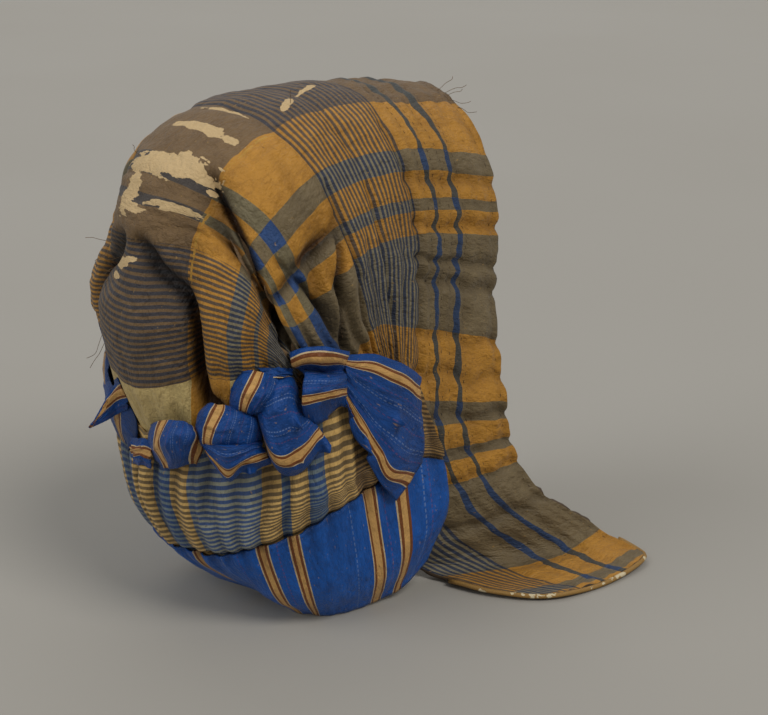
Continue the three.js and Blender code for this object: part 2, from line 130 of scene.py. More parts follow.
hoodCloth = {
    "length": 455, "neck": 250, "end": 443, "lappet": 120, "corner": 26, "cell": 2.5,
    "wall": 5.5, "edgeWall": 0.5, "edgeTaper": 12,
    "stops": {"top": 0, "crown": 38, "shoulder": 80, "side": 133, "low": 175, "neck": 250},
    "ribs": [
        {"at": 0, "top": (0, -116, 341), "crown": (31, -116, 333), "shoulder": (62, -117, 300),
         "side": (75, -117, 247), "low": (75, -115, 208), "neck": (86, -116, 129)},
        {"at": 83, "top": (0, -34, 351), "crown": (42, -29, 344), "shoulder": (72, -31, 318),
         "side": (84, -38, 263), "low": (86, -37, 234), "neck": (86, -36, 150)},
        {"at": 170, "top": (0, 54, 345), "crown": (44, 53, 338), "shoulder": (76, 45, 313),
         "side": (97, 30, 260), "low": (98, 23, 235), "neck": (92, 2, 178)},
        {"at": 225, "top": (0, 103, 320), "crown": (45, 100, 313), "shoulder": (79, 83, 290),
         "side": (98, 60, 238), "low": (98, 42, 206), "neck": (95, 25, 186)},
        {"at": 263, "top": (0, 121, 298), "crown": (46, 111, 294), "shoulder": (75, 96, 276),
         "side": (95, 77, 227), "low": (97, 64, 203), "neck": (94, 42, 185)},
        {"at": 325, "top": (0, 135, 272), "crown": (46, 122, 273), "shoulder": (76, 105, 261),
         "side": (88, 88, 230), "low": (93, 76, 203), "neck": (92, 58, 183)},
        {"at": 372, "top": (0, 140, 224), "crown": (48, 131, 230), "shoulder": (77, 114, 229),
         "side": (89, 95, 218), "low": (93, 82, 201), "neck": (91, 65, 182)},
        {"at": 420, "top": (0, 136, 176), "crown": (46, 126, 187), "shoulder": (71, 110, 193),
         "side": (84, 91, 190), "low": (89, 80, 186), "neck": (89, 71, 180)},
        {"at": 455, "top": (0, 124, 134), "crown": (40, 118, 143), "shoulder": (64, 105, 158),
         "side": (78, 92, 170), "low": (84, 83, 176), "neck": (87, 77, 178)},
    ],
    "lappetStops": {"face": 0, "middle": 60, "inner": 120},
    "lappetRows": [
        {"at": 290, "face": (84, -127, 91), "middle": (86, -68, 94), "inner": (76, -16, 92)},
        {"at": 340, "face": (94, -152, 49), "middle": (88, -105, 40), "inner": (56, -36, 30)},
        {"at": 370, "face": (108, -182, 26), "middle": (97, -140, 11), "inner": (62, -60, 8)},
        {"at": 400, "face": (122, -197, 12), "middle": (120, -145, 5.4), "inner": (102, -72, 5.3)},
        {"at": 443, "face": (146, -213, 5.3), "middle": (154, -155, 5.2), "inner": (148, -97, 5.2)},
    ],
    "folds": [
        {"path": [(236, 42), (272, 56), (302, 82), (318, 126), (312, 185)], "depth": 14, "width": 13},
        {"path": [(275, 38), (360, 41), (405, 45), (432, 52), (450, 72)], "depth": 6, "width": 10},
        {"path": [(335, 8), (355, 22), (374, 36)], "depth": 5, "width": 10},
        {"path": [(190, 104), (214, 116), (222, 136), (222, 168), (224, 220)], "depth": 8, "width": 9},
        {"path": [(200, 118), (198, 150), (205, 215)], "depth": 6, "width": 7},
        {"path": [(262, 130), (258, 175), (256, 240)], "depth": 5, "width": 7},
        {"path": [(338, 125), (348, 170), (352, 240)], "depth": 5, "width": 8},
    ],
    "creases": [
        {"path": [(226, 37), (250, 54), (264, 74), (284, 97), (300, 117), (322, 143), (345, 170)],
         "depth": 13, "width": 4.5},
        {"path": [(326, 10), (342, 20), (354, 34), (366, 43), (380, 47), (400, 48), (420, 47),
                  (436, 54), (448, 74)],
         "depth": 14, "width": 5.5},
        {"path": [(292, 115), (262, 112), (234, 109), (206, 110), (180, 111), (170, 106)],
         "depth": 7, "width": 3.6},
        {"path": [(246, 100), (237, 111), (230, 123), (225, 141),
                  (226, 170)], "depth": 6.5, "width": 3.6},
        {"path": [(172, 108), (181, 122), (196, 140), (206, 160), (226, 200)], "depth": 8, "width": 3.8},
        {"path": [(165, 90), (168, 125), (172, 149), (177, 186),
                  (181, 240)], "depth": 4.5, "width": 3.2},
        {"path": [(129, 100), (134, 140), (131, 184), (126, 203), (126, 245)], "depth": 4, "width": 3},
        {"path": [(150, 130), (152, 180), (154, 245)], "depth": 3, "width": 4},
        {"path": [(107, 150), (108, 200), (104, 245)], "depth": 2, "width": 3.5},
        {"path": [(186, 58), (194, 79), (195, 92)], "depth": 2, "width": 3.5},
        {"path": [(88, 60), (87, 127), (85, 174), (82, 240)], "depth": 2.4, "width": 3.2},
        {"path": [(240, 150), (236, 190), (238, 245)], "depth": 4, "width": 5},
        {"path": [(280, 160), (284, 200), (282, 245)], "depth": 4, "width": 5},
    ],
    "bulges": [
        {"at": (385, 86), "size": (62, 24), "lift": 6}, {"at": (395, 14), "size": (52, 22), "lift": 4},
        {"at": (250, 14), "size": (46, 26), "lift": 3}, {"at": (205, 78), "size": (26, 26), "lift": 3.5},
        {"at": (268, 150), "size": (20, 40), "lift": 4}, {"at": (320, 190), "size": (20, 36), "lift": 4},
        {"at": (190, 165), "size": (13, 40), "lift": 3},
    ],
    "farHollow": {"at": (312, 94), "size": (66, 50), "depth": 14},
    # gathers run in from the neck seam and up from the back seam
    "gatherPitch": 19, "gatherDepth": 4.2, "gatherSharpness": 1.6, "gatherMean": 0.65,
    "gatherReach": 125, "gatherFrom": (112, 150), "backGathers": (75, 5), "backFade": 20,
    "quiltLines": [5, 36, 50, 59, 72, 86, 128, 170], "quiltPuff": 1.5, "quiltWidth": 4.5,
    "bandCreases": [100, 128, 159, 178, 213, 236, 262, 285, 305, 340],
    "creaseDepth": 3.4, "creaseWidth": 4,
    "bandFrom": (60, 100), "bandTo": (100, 84), "rippleFrom": (60, 200), "tugWithin": (100, 60),
    "tugSlant": 0.7, "crumple": 1.3,
    # each soft noise: its height, bumps per millimetre along and down, and its seed
    "noises": {
        "wander": (7, (0.012, 0.022), 3), "neckGathers": (0.6, (0.03, 0.012), 4),
        "backGathers": (0.6, (0.03, 0.012), 5), "sway": (1.6, (0.01, 0.035), 6),
        "bend": (5, (0.05, 0.01), 8), "valleys": (2.4, (0.035, 0.018), 9),
        "fine": (0.91, (0.09, 0.06), 10), "wrinkle": (1.6, (0.022, 0.02), 11),
        "ripple": (0.9, (0.16, 0.035), 14), "tug": (1.3, (0.02, 0.11), 15),
    },
    # painted shade: how dark each kind of hollow is painted
    "shade": {"fold": 15, "crease": 7, "creasePower": 1.2, "quilt": 0.14, "band": 0.3, "most": 1.15},
}


def hoodPoints(alongs, downs):
    names = list(hoodCloth["stops"])
    stops = list(hoodCloth["stops"].values())
    keys = [-stop for stop in stops[:0:-1]] + stops
    net = []
    for rib in hoodCloth["ribs"]:
        near = [rib[name] for name in names]
        far = [(-x, y, z) for x, y, z in near[:0:-1]]
        net.append(far + near)
    across = smoothThrough(keys, np.array(net, float).transpose(1, 0, 2), downs)
    return smoothThrough([rib["at"] for rib in hoodCloth["ribs"]], across.transpose(1, 0, 2), alongs)


def lappetPoints(along, downs):
    stops = list(hoodCloth["lappetStops"].values())
    names = list(hoodCloth["lappetStops"])
    rows = [hoodPoints(stops, [at])[:, 0] for at in (hoodCloth["stops"]["low"], hoodCloth["neck"])]
    rows += [np.array([row[name] for name in names], float) for row in hoodCloth["lappetRows"]]
    keys = [hoodCloth["stops"]["low"], hoodCloth["neck"]]
    keys += [row["at"] for row in hoodCloth["lappetRows"]]
    here = np.array([smoothThrough(stops, row, along)[0] for row in rows])
    run = smoothThrough(keys, here, downs)
    start = smoothThrough(keys, here, [hoodCloth["neck"]])[0]
    return run - start + hoodPoints([along], [hoodCloth["neck"]])[0, 0]


def lappetLength(along):
    corner = hoodCloth["corner"]
    inset = max(corner - min(along, hoodCloth["lappet"] - along), 0)
    return hoodCloth["end"] - corner + math.sqrt(corner ** 2 - inset ** 2) * 0.999


def foldPull(folds, along, down):
    # how far the cloth is drawn in by folds that follow paths over it
    pull = np.zeros(len(along))
    for fold in folds:
        path = np.array(fold["path"], float)
        nearest = np.full(len(along), 1e6)
        share = np.zeros(len(along))
        for k in range(len(path) - 1):
            run = path[k + 1] - path[k]
            ax, dx = along - path[k, 0], down - path[k, 1]
            u = np.clip((ax * run[0] + dx * run[1]) / (run @ run), 0, 1)
            distance = np.hypot(ax - u * run[0], dx - u * run[1])
            closer = distance < nearest
            nearest = np.where(closer, distance, nearest)
            share = np.where(closer, (k + u) / (len(path) - 1), share)
        ends = np.sin(math.pi * (0.08 + 0.84 * share)) ** 0.5
        pull = np.maximum(pull, fold["depth"] * ends * np.exp(-(nearest / fold["width"]) ** 2))
    return pull


def clothGrid(columns, rows):
    # a bmesh grid whose vertices know their own column and row
    bm = bmesh.new()
    bmesh.ops.create_grid(bm, x_segments=columns, y_segments=rows, size=1)
    bm.verts.ensure_lookup_table()
    places = np.array([(v.co.x, v.co.y) for v in bm.verts])
    column = np.rint((places[:, 0] + 1) / 2 * columns).astype(int)
    row = np.rint((places[:, 1] + 1) / 2 * rows).astype(int)
    return bm, column, row


def setPlaces(bm, points):
    for vert, point in zip(bm.verts, points):
        vert.co = point
    bm.normal_update()


def vertNormals(bm):
    return np.array([v.normal[:] for v in bm.verts])


def writeUv(bm, places):
    layer = bm.loops.layers.uv.new("cloth")
    for face in bm.faces:
        for loop in face.loops:
            loop[layer].uv = places[loop.vert.index]


def writePaintedShade(bm, paintedShades):
    # stores painted shade on the vertices, for the materials to darken the colour by
    layer = bm.verts.layers.float.new("foldShade")
    for vert, depth in zip(bm.verts, paintedShades):
        vert[layer] = depth


def newPiece(name, bm, materials, smooth=True):
    mesh = bpy.data.meshes.new(name)
    bm.to_mesh(mesh)
    bm.free()
    piece = bpy.data.objects.new(name, mesh)
    bpy.context.scene.collection.objects.link(piece)
    for material in materials:
        mesh.materials.append(material)
    for polygon in mesh.polygons:
        polygon.use_smooth = smooth
    return piece


def bakeModifiers(piece):
    # applies the modifiers and keeps the mesh just clear of the floor
    graph = bpy.context.evaluated_depsgraph_get()
    made = bpy.data.meshes.new_from_object(piece.evaluated_get(graph), depsgraph=graph)
    piece.modifiers.clear()
    piece.data = made
    for vert in made.vertices:
        vert.co.z = max(vert.co.z, model["floorGap"] * mm)
    return piece


def wallCloth(piece, wall, group=None, least=1.0, inner=0, rim=0):
    solid = piece.modifiers.new("wall", "SOLIDIFY")
    solid.thickness = wall * mm
    solid.offset = -1
    solid.material_offset = inner
    solid.material_offset_rim = rim
    if group:
        solid.vertex_group = group
        solid.thickness_vertex_group = least
    return bakeModifiers(piece)


def outwardFirst(bm, sample, outward):
    # turns the faces so that the sample vertex's normal points outward
    bm.normal_update()
    bm.verts.ensure_lookup_table()
    if bm.verts[sample].normal.dot(Vector(outward)) < 0:
        bmesh.ops.reverse_faces(bm, faces=bm.faces)
        bm.normal_update()


def packedPlace(points):
    # from the pattern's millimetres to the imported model's metres
    return (np.asarray(points) + np.array([0, model["backShift"], 0])) * mm


def hoodTable(alongs, strip, side, tail):
    # places and "down" values for each column and row, with none beside the lappets
    half = side + tail
    table = np.full((len(alongs), 2 * half + 1, 3), np.nan)
    downTable = np.full((len(alongs), 2 * half + 1), np.nan)
    downs = np.arange(side + 1) * hoodCloth["cell"]
    crown = hoodPoints(alongs, downs)
    share = np.arange(1, tail + 1) / tail
    for sign in (-1, 1):
        at = half + sign * np.arange(side + 1)
        table[:, at] = crown * np.array([sign, 1, 1])
        downTable[:, at] = sign * downs
    for i in range(strip + 1):
        low = hoodCloth["neck"] + (lappetLength(alongs[i]) - hoodCloth["neck"]) * share
        run = lappetPoints(alongs[i], low)
        for sign in (-1, 1):
            at = half + sign * (side + np.arange(1, tail + 1))
            table[i, at] = run * np.array([sign, 1, 1])
            downTable[i, at] = sign * low
    return table, downTable


def hoodRelief(along, down):
    # how far each place of the cloth is drawn in, and the painted shade of its hollows
    reach, length, neck = np.abs(down), hoodCloth["length"], hoodCloth["neck"]
    places = {name: np.stack([along, down], -1) for name in hoodCloth["noises"]}
    places["tug"] = np.stack([along + hoodCloth["tugSlant"] * reach, reach], -1)
    soft = {name: softNoise(places[name], *values) for name, values in hoodCloth["noises"].items()}
    edge = smoothStep(0, hoodCloth["backFade"], length - along)
    crownShare = smoothStep(neck + 6, neck - 6, reach)

    # folds and gathers
    fold = foldPull(hoodCloth["folds"], along, reach) * (0.3 + 0.7 * edge) * crownShare
    neckShare = smoothStep(neck - hoodCloth["gatherReach"], neck - 8, reach)
    neckShare *= smoothStep(*hoodCloth["gatherFrom"], along) * crownShare
    backStart, backEnd = hoodCloth["backGathers"]
    backShare = smoothStep(length - backStart, length - backEnd, along)
    waves = []
    for place, name in ((along, "neckGathers"), (reach, "backGathers")):
        wave = 0.5 - 0.5 * np.cos(2 * math.pi * (place + soft["wander"]) / hoodCloth["gatherPitch"])
        strength = np.clip(hoodCloth["gatherMean"] + soft[name], 0.1, 1.3)
        waves.append(wave ** hoodCloth["gatherSharpness"] * strength)
    gather = hoodCloth["gatherDepth"] * np.maximum(neckShare * waves[0], backShare * waves[1])
    pull = np.maximum(fold, gather) + 0.35 * np.minimum(fold, gather)
    crimp = foldPull(hoodCloth["creases"], along + 0.3 * soft["wander"], reach) * crownShare

    # quilting, and the creases across the face band
    quilt = nearestLine(along + soft["sway"], hoodCloth["quiltLines"])
    channel = np.exp(-(quilt / hoodCloth["quiltWidth"]) ** 2)
    bandShare = smoothStep(*hoodCloth["bandTo"], along) * smoothStep(*hoodCloth["bandFrom"], reach)
    crease = nearestLine(reach + soft["bend"], hoodCloth["bandCreases"])
    crossing = np.exp(-(crease / hoodCloth["creaseWidth"]) ** 2) * bandShare
    lift = hoodCloth["quiltPuff"] * (0.6 - channel) - hoodCloth["creaseDepth"] * crossing

    # bulges, wrinkles and crumples
    for bulge in hoodCloth["bulges"]:
        lift += bulge["lift"] * softSpot(along, reach, bulge) * edge
    lift -= hoodCloth["farHollow"]["depth"] * softSpot(along, down, hoodCloth["farHollow"]) * edge
    lift += soft["wrinkle"] + soft["fine"]
    lift -= hoodCloth["crumple"] * np.clip(1 - np.abs(soft["valleys"]), 0, 1) ** 3
    lift += soft["ripple"] * smoothStep(*hoodCloth["rippleFrom"], reach) * crownShare
    lift += soft["tug"] * smoothStep(*hoodCloth["tugWithin"], along)

    # painted shade in the folds, creases, quilting channels and band creases
    shade = hoodCloth["shade"]
    dark = pull / shade["fold"] + (crimp / shade["crease"]) ** shade["creasePower"]
    dark += shade["quilt"] * channel + shade["band"] * crossing
    return pull + crimp - lift, np.clip(dark, 0, shade["most"])


def makeHood(materials):
    cell, length, neck = hoodCloth["cell"], hoodCloth["length"], hoodCloth["neck"]
    columns, strip, side = round(length / cell), round(hoodCloth["lappet"] / cell), round(neck / cell)
    tail = math.floor((hoodCloth["end"] - neck) / cell)
    half = side + tail
    alongs = np.arange(columns + 1) * cell
    table, downTable = hoodTable(alongs, strip, side, tail)

    bm, column, row = clothGrid(columns, 2 * half)
    kept = ~((np.abs(row - half) > side) & (column > strip))
    outside = [vert for vert, stays in zip(bm.verts, kept) if not stays]
    bmesh.ops.delete(bm, geom=outside, context="VERTS")
    column, row = column[kept], row[kept]
    along, down = alongs[column], downTable[column, row]
    reach = np.abs(down)
    base = table[column, row]
    setPlaces(bm, base)
    outwardFirst(bm, int(np.argmin(np.abs(along - 200) + reach)), (0, 0, 1))
    outward = vertNormals(bm)
    inwards, dark = hoodRelief(along, down)
    points = packedPlace(base - outward * inwards[:, None])
    setPlaces(bm, points)
    writeUv(bm, np.stack([down, along], -1) * mm)
    # the hollows' painted shade, kept on the vertices
    writePaintedShade(bm, dark)
    ground = BVHTree.FromBMesh(bm)

    # the padding thins out towards every free edge
    inner = np.where(reach > neck, hoodCloth["lappet"] - along, length - along)
    free = np.minimum(np.minimum(along, lappetLength(60) - reach), np.maximum(inner, 0))
    share = smoothStep(0, hoodCloth["edgeTaper"], free)
    piece = newPiece("hoodShell", bm, materials)
    group = piece.vertex_groups.new(name="padding")
    for k, weight in enumerate(share):
        group.add([k], float(weight), "REPLACE")
    wallCloth(piece, hoodCloth["wall"], "padding", hoodCloth["edgeWall"], inner=1, rim=2)
    places = {(i, j - half): k for k, (i, j) in enumerate(zip(column, row))}
    return piece, {"places": places, "points": points, "outward": outward,
                   "side": side, "tail": tail, "ground": ground}


def onHood(surface, along, down):
    # a point on the dressed cloth and its outward direction, from a cloth station
    cell = hoodCloth["cell"]
    reach = abs(down)
    if reach <= hoodCloth["neck"]:
        row = reach / cell
    else:
        share = (reach - hoodCloth["neck"]) / (lappetLength(along) - hoodCloth["neck"])
        row = surface["side"] + min(share, 1) * surface["tail"]
    row = row if down >= 0 else -row
    column = along / cell
    i, j = math.floor(column), math.floor(row)
    u, v = column - i, row - j
    point, outward, total = Vector(), Vector(), 0
    corners = ((0, 0, (1 - u) * (1 - v)), (1, 0, u * (1 - v)), (0, 1, (1 - u) * v), (1, 1, u * v))
    for di, dj, weight in corners:
        k = surface["places"].get((i + di, j + dj))
        if k is None or weight <= 0:
            continue
        point += Vector(surface["points"][k]) * weight
        outward += Vector(surface["outward"][k]) * weight
        total += weight
    return point / total, outward.normalized()


# Neck curtain and its border

curtainCloth = {
    "cell": 2.5, "wall": 1.6, "lead": 2.8, "join": 85, "hem": 160, "tuck": 2.5, "overlap": 5,
    "stops": {"top": 0, "bulge": 35, "join": 85, "roll": 125, "hem": 160},
    "rows": [
        {"at": 0, "seam": (449, 0), "bulge": (0, 133, 105), "join": (0, 110, 52),
         "roll": (0, 76, 22), "hem": (0, 42, 1)},
        {"at": 45, "seam": (449, 44), "bulge": (42, 122, 104), "join": (38, 104, 56),
         "roll": (31, 69, 22), "hem": (24, 37, 1)},
        {"at": 85, "seam": (449, 102), "bulge": (73, 99, 110), "join": (65, 93, 66),
         "roll": (58, 71, 25), "hem": (47, 44, 1)},
        {"at": 120, "seam": (430, 232), "bulge": (94, 75, 118), "join": (89, 69, 80),
         "roll": (79, 51, 29), "hem": (63, 33, 1)},
        {"at": 160, "seam": (262, 243), "bulge": (104, 46, 124), "join": (99, 38, 94),
         "roll": (88, 22, 32), "hem": (71, 9, 1)},
        {"at": 190, "seam": (188, 244), "bulge": (104, 14, 130), "join": (101, 14, 103),
         "roll": (92, -2, 36), "hem": (73, -13, 3)},
        {"at": 215, "seam": (132, 244), "bulge": (100, -20, 133), "join": (99, -21, 112),
         "roll": (94, -30, 48), "hem": (77, -33, 10)},
        {"at": 235, "seam": (88, 244), "bulge": (97, -42, 128), "join": (96, -50, 103),
         "roll": (93, -54, 62), "hem": (80, -50, 24)},
    ],
    "pleatPitch": 17, "pleatDepth": 3.6, "seamWidth": 3.5, "seamDepth": 1.1,
    "hangFrom": 12, "freeFrom": 14, "hangEnds": 20,
    # soft noises as the hood's, with seeds counted from the piece's own
    "noises": {"sway": (5, (0.03, 0.015), 0), "strength": (0.8, (0.03, 0.01), 1),
               "wrinkle": (2.0, (0.035, 0.03), 2), "fine": (0.6, (0.11, 0.08), 3)},
    "pleats": [{"path": [(205, 4), (204, 40), (200, 84)], "depth": 5, "width": 5},
               {"path": [(172, 4), (174, 40), (176, 80)], "depth": 3, "width": 5},
               {"path": [(100, 4), (96, 45)], "depth": 3.5, "width": 6},
               {"path": [(58, 4), (52, 50)], "depth": 3.5, "width": 6},
               {"path": [(30, 4), (27, 60)], "depth": 3, "width": 5}],
}


def curtainPoints(downs, alongs):
    names = list(curtainCloth["stops"])[1:]
    net = []
    for row in curtainCloth["rows"]:
        along, down = row["seam"]
        near = hoodPoints([along - 2, along, along + 2], [down - 2, down, down + 2])
        inward = unitRows(np.cross(near[2, 1] - near[0, 1], near[1, 2] - near[1, 0]))
        top = near[1, 1] - inward * curtainCloth["lead"]
        net.append([top] + [np.array(row[name], float) for name in names])
    keys = list(curtainCloth["stops"].values())
    across = smoothThrough(keys, np.array(net).transpose(1, 0, 2), downs)
    return smoothThrough([row["at"] for row in curtainCloth["rows"]], across.transpose(1, 0, 2), alongs)


def makeCurtain(name, low, high, materials, seed):
    cell = curtainCloth["cell"]
    reachEnd = curtainCloth["rows"][-1]["at"]
    half = round(reachEnd / cell)
    rows = round((high - low) / cell)
    downs = np.linspace(low, high, rows + 1)
    table = curtainPoints(downs, np.arange(half + 1) * cell)
    bm, column, row = clothGrid(2 * half, rows)
    side = np.where(column < half, -1, 1)
    along = (column - half) * cell
    down = downs[row]
    base = table[np.abs(column - half), row]
    base[:, 0] *= side
    setPlaces(bm, base)
    back = int(np.argmin(np.abs(along) + np.abs(down - (low + high) / 2)))
    outwardFirst(bm, back, (0, 1, 0))
    outward = vertNormals(bm)
    flat = np.stack([along, down], -1)
    soft = {key: softNoise(flat, height, scale, seed + more)
            for key, (height, scale, more) in curtainCloth["noises"].items()}
    join = curtainCloth["join"]
    hang = smoothStep(0, curtainCloth["hangFrom"], down)
    hang *= smoothStep(curtainCloth["stops"]["roll"], join - curtainCloth["hangEnds"], down)
    place = np.abs(along) + soft["sway"]
    wave = (0.5 - 0.5 * np.cos(2 * math.pi * place / curtainCloth["pleatPitch"])) ** 1.5
    pull = curtainCloth["pleatDepth"] * hang * wave * np.clip(0.7 + soft["strength"], 0, 1.3)
    pull = np.maximum(pull, foldPull(curtainCloth["pleats"], np.abs(along), down))
    seamShare = np.exp(-((down - join) / curtainCloth["seamWidth"]) ** 2)
    lift = smoothStep(0, curtainCloth["freeFrom"], down) * (soft["wrinkle"] + soft["fine"])
    lift -= curtainCloth["seamDepth"] * seamShare
    if high > join > low:
        # the upper piece laps behind the border
        lift -= curtainCloth["tuck"] * smoothStep(join - 4.5, join - 0.5, down)
    setPlaces(bm, packedPlace(base + outward * (lift - pull)[:, None]))
    writeUv(bm, np.stack([along, down], -1) * mm)
    # painted shade in the pleats and along the seam
    writePaintedShade(bm, np.clip((pull + 2 * seamShare) / 5, 0, 1))
    ground = BVHTree.FromBMesh(bm)
    piece = newPiece(name, bm, materials)
    return wallCloth(piece, curtainCloth["wall"], inner=1, rim=0), ground


# Ribbon trim. A strip is a net of (along, height, out) places over the neck seam: its rows follow the
# ribbon's run, and "across" holds the place across the ribbon of each column, in millimetres.

ribbonTrim = {
    "wall": 0.7, "clear": 1.0, "columns": 44, "rows": 44, "run": 60, "sway": 0.7,
    "crumple": 1.3, "ridge": 1.8, "endPleat": 2.0, "settle": 10, "settleShare": 0.96, "farShare": 0.3,
    "shadeBase": 0.9, "shadeHeight": 7, "shadeMost": 0.85,
    "headMiddle": (0, 20, 0), "groundReach": 60, "tries": 40, "leastMove": 0.4,
}
ribbonStrips = {
    "fan": {"across": (0, 11, 30, 50, 62, 74), "shade": 0.8, "net": [
        [(161, 15, 6), (159, 11, 9), (158, 5, 9), (157, -3, 9), (158, -8, 8), (158, -14, 5)],
        [(178, 11, 8), (173, 5, 12), (172, -10, 11), (170, -25, 11), (168, -32, 12), (165, -41, 8)],
        [(195, 6, 10), (190, -4, 14), (189, -24, 12), (183, -46, 12), (179, -55, 13), (175, -63, 9)],
        [(217, 6, 10), (211, -7, 14), (213, -28, 12), (200, -58, 13), (189, -72, 14), (186, -82, 9)],
        [(227, 5, 8), (224, -7, 10), (227, -28, 9), (227, -54, 9), (216, -71, 10), (201, -92, 7)],
    ]},
    "knot": {"across": (1, 5, 11, 24, 38, 48, 61, 70, 74), "net": [
        [(116, 29, 4), (114, 31, 9), (115, 23, 11), (122, 16, 4), (124, 13, 8), (122, 8, 12),
         (121, 2, 13), (121, -6, 11), (125, -19, 4)],
        [(125, 28, 7), (122, 34, 16), (122, 26, 18), (127, 16, 5), (124, 16, 14), (121, 11, 18),
         (120, 4, 20), (121, -5, 17), (126, -20, 6)],
        [(140, 23, 7), (134, 31, 17), (133, 23, 19), (141, 9, 5), (137, 11, 15), (132, 8, 20),
         (131, 2, 21), (131, -6, 18), (139, -23, 6)],
        [(155, 18, 6), (147, 25, 16), (146, 18, 18), (155, 6, 6), (150, 7, 15), (145, 5, 20),
         (143, 0, 20), (144, -8, 17), (151, -20, 6)],
        [(165, 14, 3), (161, 18, 9), (159, 11, 10), (164, 4, 4), (161, 2, 8), (158, -1, 11),
         (158, -6, 11), (159, -12, 9), (161, -19, 3)],
    ]},
    "fold": {"across": (0, 3, 11, 24, 38, 46), "net": [
        [(84, 30, 2), (87, 30, 6), (95, 27, 9), (102, 22, 9), (109, 15, 8), (116, 7, 3)],
        [(79, 25, 4), (84, 27, 11), (92, 23, 16), (99, 17, 17), (106, 9, 14), (112, 0, 6)],
        [(75, 18, 4), (80, 19, 12), (88, 17, 18), (95, 11, 19), (101, 5, 15), (107, -4, 6)],
        [(74, 11, 4), (79, 10, 11), (85, 8, 16), (91, 5, 16), (96, 0, 12), (100, -6, 6)],
        [(75, 4, 2), (79, 3, 5), (84, 0, 7), (90, -2, 7), (94, -4, 6), (97, -7, 3)],
    ]},
    "foldEdge": {"across": (74, 68, 61.5), "net": [
        [(94, 28, 5), (97, 23, 7), (99, 16, 4)],
        [(105, 24, 6), (106, 20, 10), (108, 13, 5)],
        [(117, 19, 4), (116, 15, 7), (117, 8, 4)],
    ]},
    "ear": {"across": (0, 4, 12, 28, 42, 52, 57), "net": [
        [(97, -23, 3), (96, -17, 7), (95, -11, 9), (93, -2, 9), (93, 5, 8), (93, 10, 6), (94, 12, 2)],
        [(102, -39, 6), (100, -33, 12), (99, -26, 16), (97, -11, 18), (97, 2, 17), (97, 11, 13),
         (99, 15, 5)],
        [(109, -48, 8), (107, -41, 15), (106, -33, 19), (104, -14, 21), (103, 4, 20), (105, 14, 15),
         (108, 18, 6)],
        [(120, -51, 8), (117, -44, 15), (115, -33, 19), (112, -14, 21), (111, 3, 19), (113, 12, 14),
         (116, 14, 6)],
        [(131, -46, 8), (127, -39, 14), (124, -30, 17), (121, -17, 16), (119, -5, 11), (120, 2, 7),
         (121, 6, 3)],
        [(141, -37, 4), (138, -32, 8), (135, -26, 10), (131, -17, 8), (126, -9, 5), (123, -3, 3),
         (123, 0, 1)],
    ]},
    "side": {"across": (0, 5, 12, 26, 40, 50, 56), "net": [
        [(56, 17, 2), (62, 17, 6), (70, 14, 9), (77, 10, 10), (85, 5, 9), (90, 0, 6), (93, -5, 2)],
        [(50, 13, 4), (59, 14, 11), (70, 11, 16), (79, 7, 18), (87, 2, 16), (92, -4, 10), (95, -11, 3)],
        [(47, 4, 4), (56, 5, 12), (66, 4, 18), (77, 0, 21), (85, -4, 19), (92, -11, 12), (96, -18, 4)],
        [(47, -3, 4), (55, -3, 11), (63, -4, 17), (74, -8, 20), (83, -13, 18), (90, -18, 11),
         (94, -24, 4)],
        [(48, -9, 2), (54, -10, 6), (61, -12, 9), (72, -17, 11), (81, -21, 9), (87, -24, 6),
         (91, -27, 2)],
    ]},
    "flap": {"across": (5, 6.5, 16, 27, 38, 44), "net": [
        [(54, -15, 4), (56, -13, 8), (57, -10, 10), (56, -7, 10), (54, -5, 8), (51, -4, 4)],
        [(62, -27, 5), (64, -23, 11), (64, -17, 14), (63, -11, 15), (62, -7, 13), (58, -6, 6)],
        [(73, -40, 7), (74, -35, 14), (75, -27, 19), (75, -18, 22), (74, -11, 21), (71, -11, 9)],
        [(83, -36, 7), (83, -30, 14), (84, -25, 19), (84, -19, 21), (84, -14, 20), (83, -15, 9)],
        [(92, -38, 6), (92, -32, 12), (91, -25, 15), (90, -20, 15), (90, -18, 12), (90, -18, 6)],
        [(102, -40, 3), (100, -34, 7), (98, -28, 8), (96, -24, 8), (96, -22, 6), (95, -21, 3)],
    ]},
    "back": {"across": (1, 4, 12, 28, 46, 57.5, 60, 66), "net": [
        [(9, 6, 2), (17, 9, 6), (29, 12, 10), (40, 12, 11), (45, 10, 9), (47, 7, 8), (48, 4, 5),
         (49, 0, 2)],
        [(8, 0, 4), (19, 3, 11), (30, 5, 16), (42, 6, 19), (50, 4, 17), (53, 1, 15), (52, -2, 8),
         (52, -6, 3)],
        [(8, -8, 4), (19, -6, 12), (29, -4, 17), (41, -4, 20), (47, -5, 17), (49, -6, 15),
         (50, -9, 8), (52, -13, 3)],
        [(12, -17, 4), (21, -14, 10), (29, -13, 14), (40, -13, 16), (45, -13, 14), (46, -13, 12),
         (47, -15, 7), (49, -18, 3)],
        [(16, -22, 2), (21, -22, 5), (27, -22, 7), (35, -21, 8), (40, -20, 7), (42, -20, 6),
         (44, -21, 4), (46, -22, 2)],
    ]},
    "band": {"across": (1, 12, 25), "net": [
        [(-12, -10, 4), (-7, -15, 6), (-10, -27, 4)],
        [(2, -3, 5), (4, -11, 8), (2, -22, 5)],
        [(11, -5, 5), (14, -13, 8), (10, -24, 5)],
    ]},
    "tail": {"across": (4, 11.5, 26), "net": [
        [(-15, 31, 3), (-13, 21, 4), (-16, 7, 3)],
        [(-24, 22, 6), (-21, 15, 8), (-25, -1, 6)],
        [(-30, 5, 13), (-27, 3, 14), (-28, -6, 12)],
        [(-34, -11, 20), (-35, -13, 20), (-36, -15, 20)],
    ]},
}
seamSteps = np.arange(curtainCloth["rows"][-1]["at"] + 1)
seamLine = curtainPoints([0], seamSteps)[:, 0]


